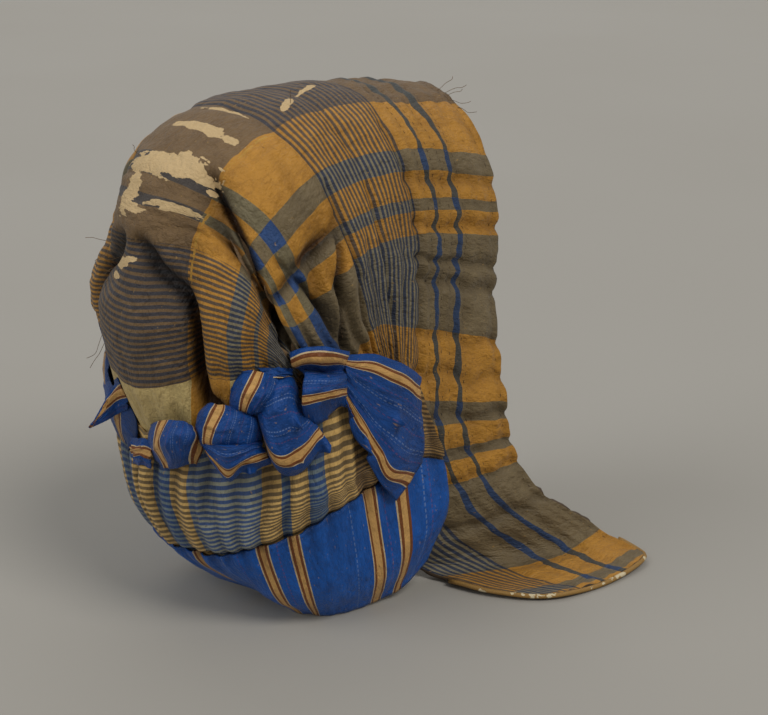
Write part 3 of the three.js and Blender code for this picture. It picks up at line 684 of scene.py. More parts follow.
def onSeam(at):
    # places along the neck seam, mirrored past the middle of the back
    place = np.stack([np.interp(np.abs(at), seamSteps, line) for line in seamLine.T], -1)
    place[:, 0] *= np.where(at < 0, -1, 1)
    return place


def ruchePlaces(along, height, out):
    # places over the seam, and the level direction that faces away from the head
    run = onSeam(along + 3) - onSeam(along - 3)
    outward = unitRows(np.stack([-run[:, 1], run[:, 0], 0 * along], -1))
    place = onSeam(along)
    fromHead = place - np.array(ribbonTrim["headMiddle"])
    inside = (outward[:, :2] * fromHead[:, :2]).sum(-1) < 0
    outward *= np.where(inside, -1, 1)[:, None]
    return place + outward * out[:, None] + np.stack([0 * along, 0 * along, height], -1), outward


def depthOver(place, grounds):
    # how far a place stands over the cloths below it, negative inside them
    height = 1.0
    for ground in grounds:
        found, normal, _, distance = ground.find_nearest(place)
        if found is not None and distance < ribbonTrim["groundReach"] * mm:
            height = min(height, (place - found).dot(normal))
    return height


def clearance(place, outward, grounds):
    # how far a place has to move along "outward" to stand clear
    moved, wanted = 0.0, ribbonTrim["clear"] * mm
    for _ in range(ribbonTrim["tries"]):
        height = depthOver(place + outward * moved, grounds)
        if height >= wanted:
            break
        moved += max(wanted - height, ribbonTrim["leastMove"] * mm)
    return moved


def crumpled(a, b, seed):
    # creased silk: swells, sharp ridges along the run, and pleats at the gathered ends
    broad = noise.noise(Vector((a * 1.6, b * 2.2, seed)))
    ridge = max(1 - 3.2 * abs(noise.noise(Vector((a * 1.8, b * 5.0, seed + 5)))), 0)
    pleat = noise.noise(Vector((a * 1.2, b * 9.0, seed + 9))) * abs(2 * a - 1) ** 1.5
    raised = ribbonTrim["crumple"] * broad + ribbonTrim["ridge"] * ridge ** 2
    return raised + ribbonTrim["endPleat"] * pleat


def addStrip(bm, label, side, outShare, seed, grounds):
    strip = ribbonStrips[label]
    columns, rows = ribbonTrim["columns"], ribbonTrim["rows"]
    net = np.array(strip["net"], float)
    a, b = np.linspace(0, 1, columns + 1), np.linspace(0, 1, rows + 1)
    rowKeys, columnKeys = np.linspace(0, 1, net.shape[0]), np.linspace(0, 1, net.shape[1])
    wide = smoothThrough(columnKeys, net.transpose(1, 0, 2), b)
    grid = smoothThrough(rowKeys, wide.transpose(1, 0, 2), a)
    places = grid.reshape(-1, 3)
    spots = [(u, v) for u in a for v in b]
    free = np.array([math.sin(math.pi * (0.06 + 0.88 * v)) for u, v in spots])
    lift = np.array([crumpled(u, v, seed) for u, v in spots]) * free
    sway = np.array([noise.noise(Vector((u * 3, v * 3, seed + 15))) for u, v in spots])
    sway *= ribbonTrim["sway"]
    out = np.maximum(places[:, 2] * outShare + lift * outShare, 0)
    points, outward = ruchePlaces(places[:, 0] + sway, places[:, 1] + sway, out)
    points = packedPlace(points) * np.array([side, 1, 1])
    outward = outward * np.array([side, 1, 1])
    push = np.array([clearance(Vector(p), Vector(o), grounds) for p, o in zip(points, outward)])
    push = push.reshape(columns + 1, rows + 1)
    for _ in range(ribbonTrim["settle"]):
        ring = np.pad(push, 1, mode="edge")
        near = (ring[:-2, 1:-1] + ring[2:, 1:-1] + ring[1:-1, :-2] + ring[1:-1, 2:]) / 4
        push = np.maximum(push, ribbonTrim["settleShare"] * near)
    points = points + outward * push.reshape(-1, 1)

    part, column, row = clothGrid(columns, rows)
    order = column * (rows + 1) + row
    setPlaces(part, points[order])
    middle = int(np.argmin(np.abs(column - columns / 2) + np.abs(row - rows / 2)))
    outwardFirst(part, middle, outward[order[middle]])
    across = np.interp(b, columnKeys, strip["across"])
    writeUv(part, np.stack([across[row], a[column] * ribbonTrim["run"]], -1) * mm)
    # painted shade: darker where the ribbon lies close to the cloth, and over the middle of the fan
    shade = strip.get("shade", 0) * np.sin(math.pi * b[row]) * smoothStep(0.1, 0.6, a[column])
    shade += ribbonTrim["shadeBase"] - out[order] / ribbonTrim["shadeHeight"]
    writePaintedShade(part, np.clip(shade, 0, ribbonTrim["shadeMost"]))
    mesh = bpy.data.meshes.new("strip")
    part.to_mesh(mesh)
    part.free()
    bm.from_mesh(mesh)
    bpy.data.meshes.remove(mesh)


def makeRibbon(name, labels, side, outShare, seed, grounds, material):
    bm = bmesh.new()
    for k, label in enumerate(labels):
        addStrip(bm, label, side, outShare, seed + k, grounds)
    return wallCloth(newPiece(name, bm, [material]), ribbonTrim["wall"])


# Tubes for cords and threads

def roundTubes(lines, radius, roundness):
    # a bmesh of round tubes along lists of places
    curve = bpy.data.curves.new("tube", "CURVE")
    curve.dimensions = "3D"
    curve.bevel_depth = radius * mm
    curve.bevel_resolution = roundness
    curve.use_fill_caps = True
    curve.resolution_u = 3
    for places in lines:
        line = curve.splines.new("NURBS")
        line.points.add(len(places) - 1)
        line.use_endpoint_u = True
        line.order_u = 4
        for point, place in zip(line.points, places):
            point.co = (*place, 1)
    holder = bpy.data.objects.new("holder", curve)
    bpy.context.scene.collection.objects.link(holder)
    graph = bpy.context.evaluated_depsgraph_get()
    mesh = bpy.data.meshes.new_from_object(holder.evaluated_get(graph), depsgraph=graph)
    bpy.data.objects.remove(holder)
    bm = bmesh.new()
    bm.from_mesh(mesh)
    bpy.data.meshes.remove(mesh)
    return bm


# Piping round the lappets' free ends

piping = {
    "radius": 1.7, "seated": 0.8,
    "innerEdge": (388, 394, 400, 406, 411),
    "endSteps": (119, 117, 114, 110, 104, 96, 84, 70, 55, 40, 28, 19, 12, 6, 2.5, 1),
    "faceEdge": (411, 407, 402),
}


def makePiping(surface, side, material):
    stations = [(hoodCloth["lappet"] - 0.01, down) for down in piping["innerEdge"]]
    stations += [(along, lappetLength(along)) for along in piping["endSteps"]]
    stations += [(0, down) for down in piping["faceEdge"]]
    centre, _ = onHood(surface, 60, side * 400)
    rims = []
    for along, down in stations:
        point, outward = onHood(surface, along, side * down)
        rims.append((point - outward * hoodCloth["wall"] * hoodCloth["edgeWall"] / 2 * mm, outward))
    places = []
    for k, (point, outward) in enumerate(rims):
        run = rims[min(k + 1, len(rims) - 1)][0] - rims[max(k - 1, 0)][0]
        away = run.cross(outward).normalized()
        if away.dot(point - centre) < 0:
            away = -away
        place = point + away * (piping["radius"] * piping["seated"] + 0.2) * mm
        place.z = max(place.z, (piping["radius"] + model["floorGap"]) * mm)
        places.append(place)
    bm = roundTubes([places], piping["radius"], 2)
    bmesh.ops.remove_doubles(bm, verts=bm.verts, dist=1e-5)
    bmesh.ops.recalc_face_normals(bm, faces=bm.faces)
    return newPiece("lappetPiping_" + ("right" if side < 0 else "left"), bm, [material])


# Material nodes

def linear(code):
    parts = [int(code[k:k + 2], 16) / 255 for k in (1, 3, 5)]
    return tuple(p / 12.92 if p <= 0.04045 else ((p + 0.055) / 1.055) ** 2.4 for p in parts) + (1,)


def feed(tree, slot, item):
    if isinstance(item, bpy.types.NodeSocket):
        tree.links.new(item, slot)
    else:
        slot.default_value = item


def calc(tree, operation, *items):
    made = tree.nodes.new("ShaderNodeMath")
    made.operation = operation
    for slot, item in zip(made.inputs, items):
        feed(tree, slot, item)
    return made.outputs[0]


def blendColour(tree, share, first, second, mode="MIX"):
    made = tree.nodes.new("ShaderNodeMix")
    made.data_type = "RGBA"
    made.blend_type = mode
    feed(tree, made.inputs[0], share)
    feed(tree, made.inputs[6], linear(first) if isinstance(first, str) else first)
    feed(tree, made.inputs[7], linear(second) if isinstance(second, str) else second)
    return made.outputs[2]


def noiseMap(tree, vector, scale, detail=2.0, rough=0.5, stretch=(1, 1, 1)):
    mapping = tree.nodes.new("ShaderNodeMapping")
    mapping.inputs["Scale"].default_value = stretch
    tree.links.new(vector, mapping.inputs["Vector"])
    made = tree.nodes.new("ShaderNodeTexNoise")
    tree.links.new(mapping.outputs[0], made.inputs["Vector"])
    made.inputs["Scale"].default_value = scale
    made.inputs["Detail"].default_value = detail
    made.inputs["Roughness"].default_value = rough
    return made.outputs["Fac"]


def swing(tree, place, size, scale, detail=2.0, rough=0.5, stretch=(1, 1, 1)):
    # noise from -size / 2 to size / 2
    value = noiseMap(tree, place, scale, detail, rough, stretch)
    return calc(tree, "MULTIPLY", calc(tree, "SUBTRACT", value, 0.5), size)


def limited(tree, value, gain, shift, most=1.0):
    # value times gain plus shift, kept between 0 and most
    raised = calc(tree, "MULTIPLY_ADD", value, gain, shift)
    return calc(tree, "MINIMUM", calc(tree, "MAXIMUM", raised, 0.0), most)


def bands(tree, place, edges, low, high):
    # a black and white mask from place: 1 between each pair of edges
    span = high - low
    ramp = tree.nodes.new("ShaderNodeValToRGB")
    ramp.color_ramp.interpolation = "CONSTANT"
    stops = ramp.color_ramp.elements
    stops[0].position, stops[0].color = 0, (0, 0, 0, 1)
    stops.remove(stops[1])
    for start, stop in edges:
        for at, level in ((start, 1), (stop, 0)):
            mark = stops.new(min(max((at - low) / span, 0), 1))
            mark.color = (level, level, level, 1)
    feed(tree, ramp.inputs[0], calc(tree, "DIVIDE", calc(tree, "SUBTRACT", place, low), span))
    return ramp.outputs["Color"]


def newGroup(name, inputs, outputs):
    tree = bpy.data.node_groups.new(name, "ShaderNodeTree")
    for label, kind, value in inputs:
        socket = tree.interface.new_socket(name=label, in_out="INPUT", socket_type=kind)
        if value is not None:
            socket.default_value = value
    for label, kind in outputs:
        tree.interface.new_socket(name=label, in_out="OUTPUT", socket_type=kind)
    return tree, tree.nodes.new("NodeGroupInput").outputs, tree.nodes.new("NodeGroupOutput").inputs


def useGroup(tree, group, **items):
    made = tree.nodes.new("ShaderNodeGroup")
    made.node_tree = group
    for label, item in items.items():
        feed(tree, made.inputs[label], item)
    return made.outputs


def newMaterial(name):
    material = bpy.data.materials.new(name)
    material.use_nodes = True
    tree = material.node_tree
    shader = tree.nodes["Principled BSDF"]
    return material, tree, shader


def clothPlace(tree):
    # the cloth's own coordinates in millimetres
    uv = tree.nodes.new("ShaderNodeUVMap")
    uv.uv_map = "cloth"
    scaled = tree.nodes.new("ShaderNodeVectorMath")
    scaled.operation = "SCALE"
    scaled.inputs["Scale"].default_value = 1000
    tree.links.new(uv.outputs[0], scaled.inputs[0])
    return scaled.outputs[0]


def splitPlace(tree, vector):
    made = tree.nodes.new("ShaderNodeSeparateXYZ")
    tree.links.new(vector, made.inputs[0])
    return made.outputs[0], made.outputs[1]


def foldShade(tree):
    # the painted shade stored on the cloth's vertices
    made = tree.nodes.new("ShaderNodeAttribute")
    made.attribute_name = "foldShade"
    return made.outputs["Fac"]


def silkGroup():
    # thread shading and a height for plain woven silk, finer along one way
    tree, given, out = newGroup("silkThreads", [("Place", "NodeSocketVector", None)],
                                [("Shade", "NodeSocketFloat"), ("Height", "NodeSocketFloat")])
    warp = noiseMap(tree, given["Place"], 1.0, 3, 0.6, (2.2, 0.10, 1))
    weft = noiseMap(tree, given["Place"], 1.0, 3, 0.6, (0.12, 2.6, 1))
    blotch = noiseMap(tree, given["Place"], 0.05, 4, 0.6)
    threads = calc(tree, "ADD", calc(tree, "MULTIPLY", warp, 0.45), calc(tree, "MULTIPLY", weft, 0.55))
    shade = calc(tree, "ADD", calc(tree, "MULTIPLY", threads, 0.6), calc(tree, "MULTIPLY", blotch, 0.4))
    tree.links.new(shade, out["Shade"])
    tree.links.new(threads, out["Height"])
    return tree


plaid = {
    "grayDown": [(79.5, 94), (110, 117), (133, 210), (251, 265.5), (281.5, 288.5), (304.5, 381.5),
                 (422.5, 437)],
    "brownDown": [(-5, 38.5)],
    "span": (0, 460), "brownSpan": (-10, 460),
    "fineAlong": [(83, 170), (325, 420)],
    "finePitch": 4.2,
    "stripes": [{"kind": "thin", "at": 43, "half": 2.7, "sway": 2.2},
                {"kind": "thin", "at": 65, "half": 2.3, "sway": 2.2},
                {"kind": "stripe", "at": 235, "half": 10, "sway": 0.6},
                {"kind": "stripe", "at": 270.5, "half": 7.5, "sway": 0.6}],
    "yellow": "#b5812f", "gray": "#75664a", "brown": "#735b3c",
    "thinOnYellow": "#3f4240", "thinOnGray": "#243c60",
    "stripeOnYellow": "#6d674f", "stripeOnGray": "#24487c", "stripeOnBrown": "#45403d",
    "fineOnYellow": "#4d443c", "fineOnGray": "#22304a", "fineOnBrown": "#343640",
    "fineGrayGround": "#7d745c", "plainAlong": 421, "plain": "#c0a970",
    "ridgeReach": [(40.2, 42.6)], "ridgeAlong": [(172, 400)], "ridge": "#b98c38",
}


def fineLines(tree, place, pitch):
    turn = calc(tree, "MULTIPLY", place, 2 * math.pi / pitch)
    return limited(tree, calc(tree, "SINE", turn), 1.8, 0.75)


def plaidGroup():
    tree, given, out = newGroup("silkPlaid", [("Place", "NodeSocketVector", None)],
                                [("Color", "NodeSocketColor")])
    place = given["Place"]
    down, along = splitPlace(tree, place)
    reach = calc(tree, "ADD", calc(tree, "ABSOLUTE", down), swing(tree, place, 4.0, 0.03, 3))
    low, high = plaid["span"]
    gray = bands(tree, reach, plaid["grayDown"], low, high)
    brown = bands(tree, reach, plaid["brownDown"], *plaid["brownSpan"])
    fineArea = bands(tree, along, plaid["fineAlong"], low, high)
    wobbly = calc(tree, "ADD", along, swing(tree, place, 2.2, 0.05))
    fine = calc(tree, "MULTIPLY", fineArea, fineLines(tree, wobbly, plaid["finePitch"]))
    masks = {}
    for k, stripe in enumerate(plaid["stripes"]):
        drift = swing(tree, place, stripe["sway"] * 3, 0.06, stretch=(1, 0.2 + 0.1 * k, 1))
        away = calc(tree, "SUBTRACT", calc(tree, "ADD", along, drift), stripe["at"])
        away = calc(tree, "ABSOLUTE", away)
        swell = swing(tree, place, stripe["sway"] * 2, 0.04, stretch=(1, 0.3, 1 + k))
        here = calc(tree, "LESS_THAN", away, calc(tree, "ADD", swell, stripe["half"]))
        kind = stripe["kind"]
        masks[kind] = calc(tree, "MAXIMUM", masks[kind], here) if kind in masks else here
    ground = blendColour(tree, gray, plaid["yellow"], plaid["gray"])
    ground = blendColour(tree, calc(tree, "MULTIPLY", fineArea, gray), ground, plaid["fineGrayGround"])
    ground = blendColour(tree, brown, ground, plaid["brown"])
    plain = calc(tree, "MULTIPLY", calc(tree, "GREATER_THAN", along, plaid["plainAlong"]),
                 calc(tree, "MAXIMUM", gray, brown))
    colour = blendColour(tree, plain, ground, plaid["plain"])
    masks["fine"] = fine
    for kind, share in (("fine", 0.92), ("stripe", 0.95), ("thin", 0.97)):
        over = blendColour(tree, gray, plaid[kind + "OnYellow"], plaid[kind + "OnGray"])
        if kind + "OnBrown" in plaid:
            over = blendColour(tree, brown, over, plaid[kind + "OnBrown"])
        colour = blendColour(tree, calc(tree, "MULTIPLY", masks[kind], share), colour, over)
    torn = calc(tree, "GREATER_THAN", noiseMap(tree, place, 0.16, 4, 0.7), 0.5)
    ridge = calc(tree, "MULTIPLY", bands(tree, reach, plaid["ridgeReach"], low, high),
                 bands(tree, along, plaid["ridgeAlong"], low, high))
    colour = blendColour(tree, calc(tree, "MULTIPLY", torn, ridge), colour, plaid["ridge"])
    tree.links.new(colour, out["Color"])
    return tree


ageingAndShade = {
    "thread": (0.9, 0.55), "soil": (3.0, -1.45), "soilColour": (0.5, 0.44, 0.38, 1),
    "pale": (14.0, -9.3, 0.5), "paleColour": "#b08c4e",
    "dark": (12.0, -8.0, 0.6), "darkColour": (0.3, 0.25, 0.2, 1),
    # the crease lines and the fold darkening below are painted shade
    "lineShare": 0.26, "creaseShadeColour": (0.42, 0.36, 0.33, 1),
    "paintedShadeShare": 0.9, "paintedShadeColour": (0.10, 0.08, 0.08, 1),
}


def ageAndShadeGroup():
    # fading, random soil, thread shading and painted shade in the folds over a cloth's own colour
    tree, given, out = newGroup(
        "silkAgeAndShade",
        [("Place", "NodeSocketVector", None), ("Color", "NodeSocketColor", (0.5, 0.5, 0.5, 1)),
         ("Shade", "NodeSocketFloat", 0.5), ("Fold", "NodeSocketFloat", 0.0),
         ("Soil", "NodeSocketFloat", 0.5)],
        [("Color", "NodeSocketColor")])
    place = given["Place"]
    scaled = tree.nodes.new("ShaderNodeVectorMath")
    scaled.operation = "SCALE"
    tree.links.new(given["Color"], scaled.inputs[0])
    tree.links.new(calc(tree, "MULTIPLY_ADD", given["Shade"], *ageingAndShade["thread"]), scaled.inputs["Scale"])
    soil = calc(tree, "MULTIPLY_ADD", noiseMap(tree, place, 0.018, 5, 0.65), *ageingAndShade["soil"])
    soil = calc(tree, "SMOOTH_MIN", calc(tree, "MAXIMUM", soil, 0.0), 1.0, 0.1)
    colour = blendColour(tree, calc(tree, "MULTIPLY", soil, given["Soil"]), scaled.outputs[0],
                         ageingAndShade["soilColour"], "MULTIPLY")
    pale = limited(tree, noiseMap(tree, place, 0.42, 3, 0.6, (1, 0.45, 1)), *ageingAndShade["pale"])
    colour = blendColour(tree, pale, colour, ageingAndShade["paleColour"])
    dark = limited(tree, noiseMap(tree, place, 0.3, 3, 0.6, (0.8, 1.2, 3)), *ageingAndShade["dark"])
    colour = blendColour(tree, dark, colour, ageingAndShade["darkColour"], "MULTIPLY")
    # thin lines of painted crease shade where a noise crosses its middle
    away = calc(tree, "SUBTRACT", noiseMap(tree, place, 0.045, 4, 0.6, (2.2, 0.7, 1)), 0.5)
    away = calc(tree, "ABSOLUTE", away)
    line = calc(tree, "MAXIMUM", calc(tree, "MULTIPLY_ADD", away, -26.0, 1.0), 0.0)
    colour = blendColour(tree, calc(tree, "MULTIPLY", line, ageingAndShade["lineShare"]), colour,
                         ageingAndShade["creaseShadeColour"], "MULTIPLY")
    # painted shade: darkens the colour in folds, pleats and hollows by the stored shade
    paintedShadeMask = calc(tree, "MINIMUM", calc(tree, "MULTIPLY", given["Fold"], ageingAndShade["paintedShadeShare"]), 1.0)
    tree.links.new(blendColour(tree, paintedShadeMask, colour, ageingAndShade["paintedShadeColour"], "MULTIPLY"), out["Color"])
    return tree


silkThreads = silkGroup()
silkPlaid = plaidGroup()
silkAgeAndShade = ageAndShadeGroup()

wear = {
    "cream": "#d2b98c", "wadding": "#b89a6e",
    # each patch: middle (down, along), half sizes, and its turn in degrees
    "patches": [
        {"at": (-8, 232), "half": (34, 12), "turn": 15}, {"at": (-24, 227), "half": (9, 8), "turn": 0},
        {"at": (9, 274), "half": (6, 32), "turn": 0}, {"at": (4, 287), "half": (11, 8), "turn": 0},
        {"at": (-24, 272), "half": (21, 5.5), "turn": 0}, {"at": (-19, 275), "half": (3.5, 6), "turn": 0},
        {"at": (8, 344), "half": (14, 3.8), "turn": 20}, {"at": (11, 353), "half": (6, 2), "turn": 10},
        {"at": (-8, 196), "half": (30, 4), "turn": 2}, {"at": (-2, 174), "half": (20, 2.4), "turn": 5},
        {"at": (-26, 146), "half": (3.2, 9), "turn": 28},
        {"at": (-13, 118), "half": (2.6, 12), "turn": 19},
        {"at": (-39, 239), "half": (3, 4), "turn": 0},
    ],
}


def wornMask(tree, place):
    # 1 where the silk has worn through, with ragged edges along the threads
    fray = swing(tree, place, 1.9, 0.13, 3, 0.55, (0.8, 1.2, 1))
    nearest = None
    for patch in wear["patches"]:
        mapping = tree.nodes.new("ShaderNodeMapping")
        mapping.vector_type = "TEXTURE"
        mapping.inputs["Location"].default_value = (*patch["at"], 0)
        mapping.inputs["Rotation"].default_value = (0, 0, math.radians(patch["turn"]))
        mapping.inputs["Scale"].default_value = (*patch["half"], 1)
        tree.links.new(place, mapping.inputs["Vector"])
        length = tree.nodes.new("ShaderNodeVectorMath")
        length.operation = "LENGTH"
        tree.links.new(mapping.outputs[0], length.inputs[0])
        value = length.outputs["Value"]
        nearest = value if nearest is None else calc(tree, "MINIMUM", nearest, value)
    edge = calc(tree, "ADD", nearest, fray)
    return calc(tree, "LESS_THAN", edge, 0.95)


def creaseRelief(tree, place, weight):
    # soft crumples with sharp valleys
    broad = noiseMap(tree, place, 0.11, 4, 0.62)
    valley = noiseMap(tree, place, 0.07, 4, 0.6, (1.4, 0.8, 1))
    valley = calc(tree, "ABSOLUTE", calc(tree, "SUBTRACT", valley, 0.5))
    valley = calc(tree, "MINIMUM", calc(tree, "MULTIPLY", valley, 7.0), 1.0)
    return calc(tree, "MULTIPLY", calc(tree, "ADD", broad, valley), weight)


def bumped(tree, shader, height, strength, distance):
    bump = tree.nodes.new("ShaderNodeBump")
    bump.inputs["Strength"].default_value = strength
    bump.inputs["Distance"].default_value = distance
    tree.links.new(height, bump.inputs["Height"])
    tree.links.new(bump.outputs[0], shader.inputs["Normal"])


silkFinish = {
    "plaid": {"rough": 0.36, "sheen": 0.06, "specular": 0.28, "sheenRough": 0.4,
              "crease": 1.5, "bump": 0.6, "relief": 0.0011},
    "striped": {"rough": 0.34, "sheen": 0.06, "specular": 0.28, "sheenRough": 0.4,
                "crease": 1.6, "bump": 0.6, "relief": 0.0011},
    "ribbon": {"rough": 0.26, "sheen": 0.04, "specular": 0.25, "sheenRough": 0.35,
               "crease": 1.6, "bump": 0.55, "relief": 0.001},
}


def silkSurface(tree, shader, place, colour, soil, gloss, worn=None):
    # the shared look of all the silks; worn places show bare wadding
    finish = silkFinish[gloss]
    threads = useGroup(tree, silkThreads, Place=place)
    aged = useGroup(tree, silkAgeAndShade, Place=place, Color=colour, Shade=threads["Shade"],
                    Fold=foldShade(tree), Soil=soil)["Color"]
    rough = calc(tree, "MULTIPLY_ADD", threads["Shade"], 0.25, finish["rough"])
    height = threads["Height"]
    if worn is not None:
        strands = noiseMap(tree, place, 1.0, 2, 0.5, (0.3, 1.4, 1))
        aged = blendColour(tree, worn, aged, blendColour(tree, strands, wear["wadding"], wear["cream"]))
        rough = calc(tree, "MAXIMUM", rough, calc(tree, "MULTIPLY", worn, 0.9))
        height = calc(tree, "SUBTRACT", height, calc(tree, "MULTIPLY", worn, 0.9))
    feed(tree, shader.inputs["Base Color"], aged)
    feed(tree, shader.inputs["Roughness"], rough)
    shader.inputs["Sheen Weight"].default_value = finish["sheen"]
    shader.inputs["Specular IOR Level"].default_value = finish["specular"]
    shader.inputs["Sheen Roughness"].default_value = finish["sheenRough"]
    height = calc(tree, "ADD", height, creaseRelief(tree, place, finish["crease"]))
    bumped(tree, shader, height, finish["bump"], finish["relief"])


def plaidSilk():
    material, tree, shader = newMaterial("plaidSilk")
    place = clothPlace(tree)
    colour = useGroup(tree, silkPlaid, Place=place)["Color"]
    silkSurface(tree, shader, place, colour, 0.55, "plaid", wornMask(tree, place))
    return material


def plainCotton(name, light, dark, rough=0.85):
    material, tree, shader = newMaterial(name)
    place = clothPlace(tree)
    threads = useGroup(tree, silkThreads, Place=place)
    shade = calc(tree, "MULTIPLY_ADD", threads["Shade"], 1.6, -0.3)
    feed(tree, shader.inputs["Base Color"], blendColour(tree, shade, dark, light))
    shader.inputs["Roughness"].default_value = rough
    bumped(tree, shader, threads["Height"], 0.4, 0.0005)
    return material


curtainColours = {
    # places from the middle of the back, positive to the wearer's right
    "yellow": [(-170, -144), (-126, -112), (-106, -93), (-50, -36), (-16, 7), (24, 39), (93, 106),
               (112, 126), (144, 170)],
    "navy": [(-143, -126), (-36, -16), (7, 24), (106, 112), (126, 143)],
    "tan": [(-240, -170), (170, 240)],
    "pitch": 4.0, "span": (-260, 260),
    "yellowGround": "#d9b26c", "grayGround": "#979a8c", "navyGround": "#6c7a80", "tanGround": "#a9854e",
    "yellowLine": "#6a5a40", "grayLine": "#2c4c82", "navyLine": "#1c3f74", "tanLine": "#4a3a28",
}


def stripedSilk():
    material, tree, shader = newMaterial("stripedSilk")
    place = clothPlace(tree)
    along, down = splitPlace(tree, place)
    waver = swing(tree, place, 5.0, 0.03)
    station = calc(tree, "SUBTRACT", waver, along)
    ground, line = curtainColours["grayGround"], curtainColours["grayLine"]
    for label in ("yellow", "navy", "tan"):
        mask = bands(tree, station, curtainColours[label], *curtainColours["span"])
        ground = blendColour(tree, mask, ground, curtainColours[label + "Ground"])
        line = blendColour(tree, mask, line, curtainColours[label + "Line"])
    wobbly = calc(tree, "ADD", down, calc(tree, "MULTIPLY", waver, 0.3))
    fine = calc(tree, "MULTIPLY", fineLines(tree, wobbly, curtainColours["pitch"]), 0.92)
    colour = blendColour(tree, fine, ground, line)
    silkSurface(tree, shader, place, colour, 0.35, "striped")
    return material


ribbonColours = {
    "blue": "#154f9a", "deepBlue": "#0a2f66", "gold": "#c69a5c", "rust": "#74421f", "cream": "#c4b08a",
    "white": "#8fa2c4", "red": "#7a4468",
    # places across the ribbon in millimetres
    "goldBands": [(7, 16), (58, 67)], "creamLines": [(7, 7.7), (15.3, 16), (58, 58.7), (66.3, 67)],
    "rustLines": [(7.7, 9.5), (13.5, 15.3), (58.7, 60.5), (64.5, 66.3)],
    "whiteLines": [(27.0, 27.45), (29.0, 29.45), (44.4, 44.85), (46.4, 46.85)],
    "redLines": [(22.5, 23), (37, 37.5), (51, 51.5)], "lineShare": 0.38,
}


def ribbonGroup(name, colours, low, high):
    tree, given, out = newGroup(name, [("Place", "NodeSocketVector", None)],
                                [("Color", "NodeSocketColor")])
    across, run = splitPlace(tree, given["Place"])
    mottle = noiseMap(tree, given["Place"], 0.08, 3, 0.6)
    colour = blendColour(tree, mottle, colours["deepBlue"], colours["blue"])
    dashes = calc(tree, "GREATER_THAN", calc(tree, "SINE", calc(tree, "MULTIPLY", run, 2.4)), -0.4)
    gold = bands(tree, across, colours["goldBands"], low, high)
    colour = blendColour(tree, gold, colour, colours["gold"])
    for label, lines, share in (("rust", "rustLines", 1.0), ("cream", "creamLines", 0.9)):
        mask = bands(tree, across, colours[lines], low, high)
        colour = blendColour(tree, calc(tree, "MULTIPLY", mask, share), colour, colours[label])
    for label, lines in (("white", "whiteLines"), ("red", "redLines")):
        mask = calc(tree, "MULTIPLY", bands(tree, across, colours[lines], low, high), dashes)
        mask = calc(tree, "MULTIPLY", mask, colours["lineShare"])
        colour = blendColour(tree, mask, colour, colours[label])
    tree.links.new(colour, out["Color"])
    return tree


def ribbonSilk(name, group, mirrored=False):
    material, tree, shader = newMaterial(name)
    place = clothPlace(tree)
    pattern = place
    if mirrored:
        across, run = splitPlace(tree, place)
        joined = tree.nodes.new("ShaderNodeCombineXYZ")
        tree.links.new(calc(tree, "ABSOLUTE", across), joined.inputs[0])
        tree.links.new(run, joined.inputs[1])
        pattern = joined.outputs[0]
    colour = useGroup(tree, group, Place=pattern)["Color"]
    silkSurface(tree, shader, place, colour, 0.2, "ribbon")
    return material


borderColours = dict(
    ribbonColours, blue="#1762bd", deepBlue="#0d3f84",
    goldBands=[(20, 29), (88, 97), (109, 117.5), (177, 188), (199, 208)],
    creamLines=[(20, 20.7), (28.3, 29), (88, 88.7), (96.3, 97), (109, 109.7), (116.8, 117.5),
                (177, 177.8), (187.2, 188), (199, 199.7), (207.3, 208)],
    rustLines=[(20.7, 22.7), (26.3, 28.3), (88.7, 90.7), (94.3, 96.3), (109.7, 111.6), (114.9, 116.8),
               (177.8, 180), (185, 187.2), (199.7, 201.6), (205.4, 207.3)],
    whiteLines=[(50, 50.5), (52.4, 52.9), (127, 127.5), (129.4, 129.9), (161, 161.5), (163.4, 163.9),
                (215, 215.5), (217.4, 217.9)],
    redLines=[(70, 70.6), (102, 102.6), (123, 123.6), (193, 193.6), (222, 222.6)],
)


pipingColours = {"dark": "#6f5426", "gold": "#a88040", "bare": "#c9bb98", "bareFrom": 0.58}


def pipingGold():
    material, tree, shader = newMaterial("pipingGold")
    coords = tree.nodes.new("ShaderNodeTexCoord")
    place = coords.outputs["Object"]
    worn = calc(tree, "GREATER_THAN", noiseMap(tree, place, 95, 3, 0.6), pipingColours["bareFrom"])
    fine = noiseMap(tree, place, 900, 2, 0.5)
    gold = blendColour(tree, fine, pipingColours["dark"], pipingColours["gold"])
    feed(tree, shader.inputs["Base Color"], blendColour(tree, worn, gold, pipingColours["bare"]))
    shader.inputs["Roughness"].default_value = 0.7
    bumped(tree, shader, fine, 0.5, 0.0006)
    return material


def threadMaterial(name, colour):
    material, tree, shader = newMaterial(name)
    coords = tree.nodes.new("ShaderNodeTexCoord")
    mottle = noiseMap(tree, coords.outputs["Object"], 300, 2, 0.5)
    feed(tree, shader.inputs["Base Color"], blendColour(tree, mottle, "#1d1713", colour))
    shader.inputs["Roughness"].default_value = 0.8
    return material


plaidMaterial = plaidSilk()
liningMaterial = plainCotton("liningCotton", "#8a7152", "#6a5238")
edgeMaterial = plainCotton("edgeBinding", "#5a4630", "#2f241a", 0.7)
stripedMaterial = stripedSilk()
borderMaterial = ribbonSilk("borderRibbon", ribbonGroup("borderStripes", borderColours, 0, 240),
                            mirrored=True)
ribbonMaterial = ribbonSilk("trimRibbon", ribbonGroup("ribbonStripes", ribbonColours, -2, 80))
goldMaterial = pipingGold()
stitchMaterial = threadMaterial("stitchThread", "#4a3a2a")
strandMaterial = threadMaterial("looseThread", "#8d6f4a")
print("materials made")

# Pieces

hoodShell, hoodSurface = makeHood([plaidMaterial, liningMaterial, edgeMaterial])
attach(hoodShell, "root")
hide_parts("hood_shell")
print("hood made")

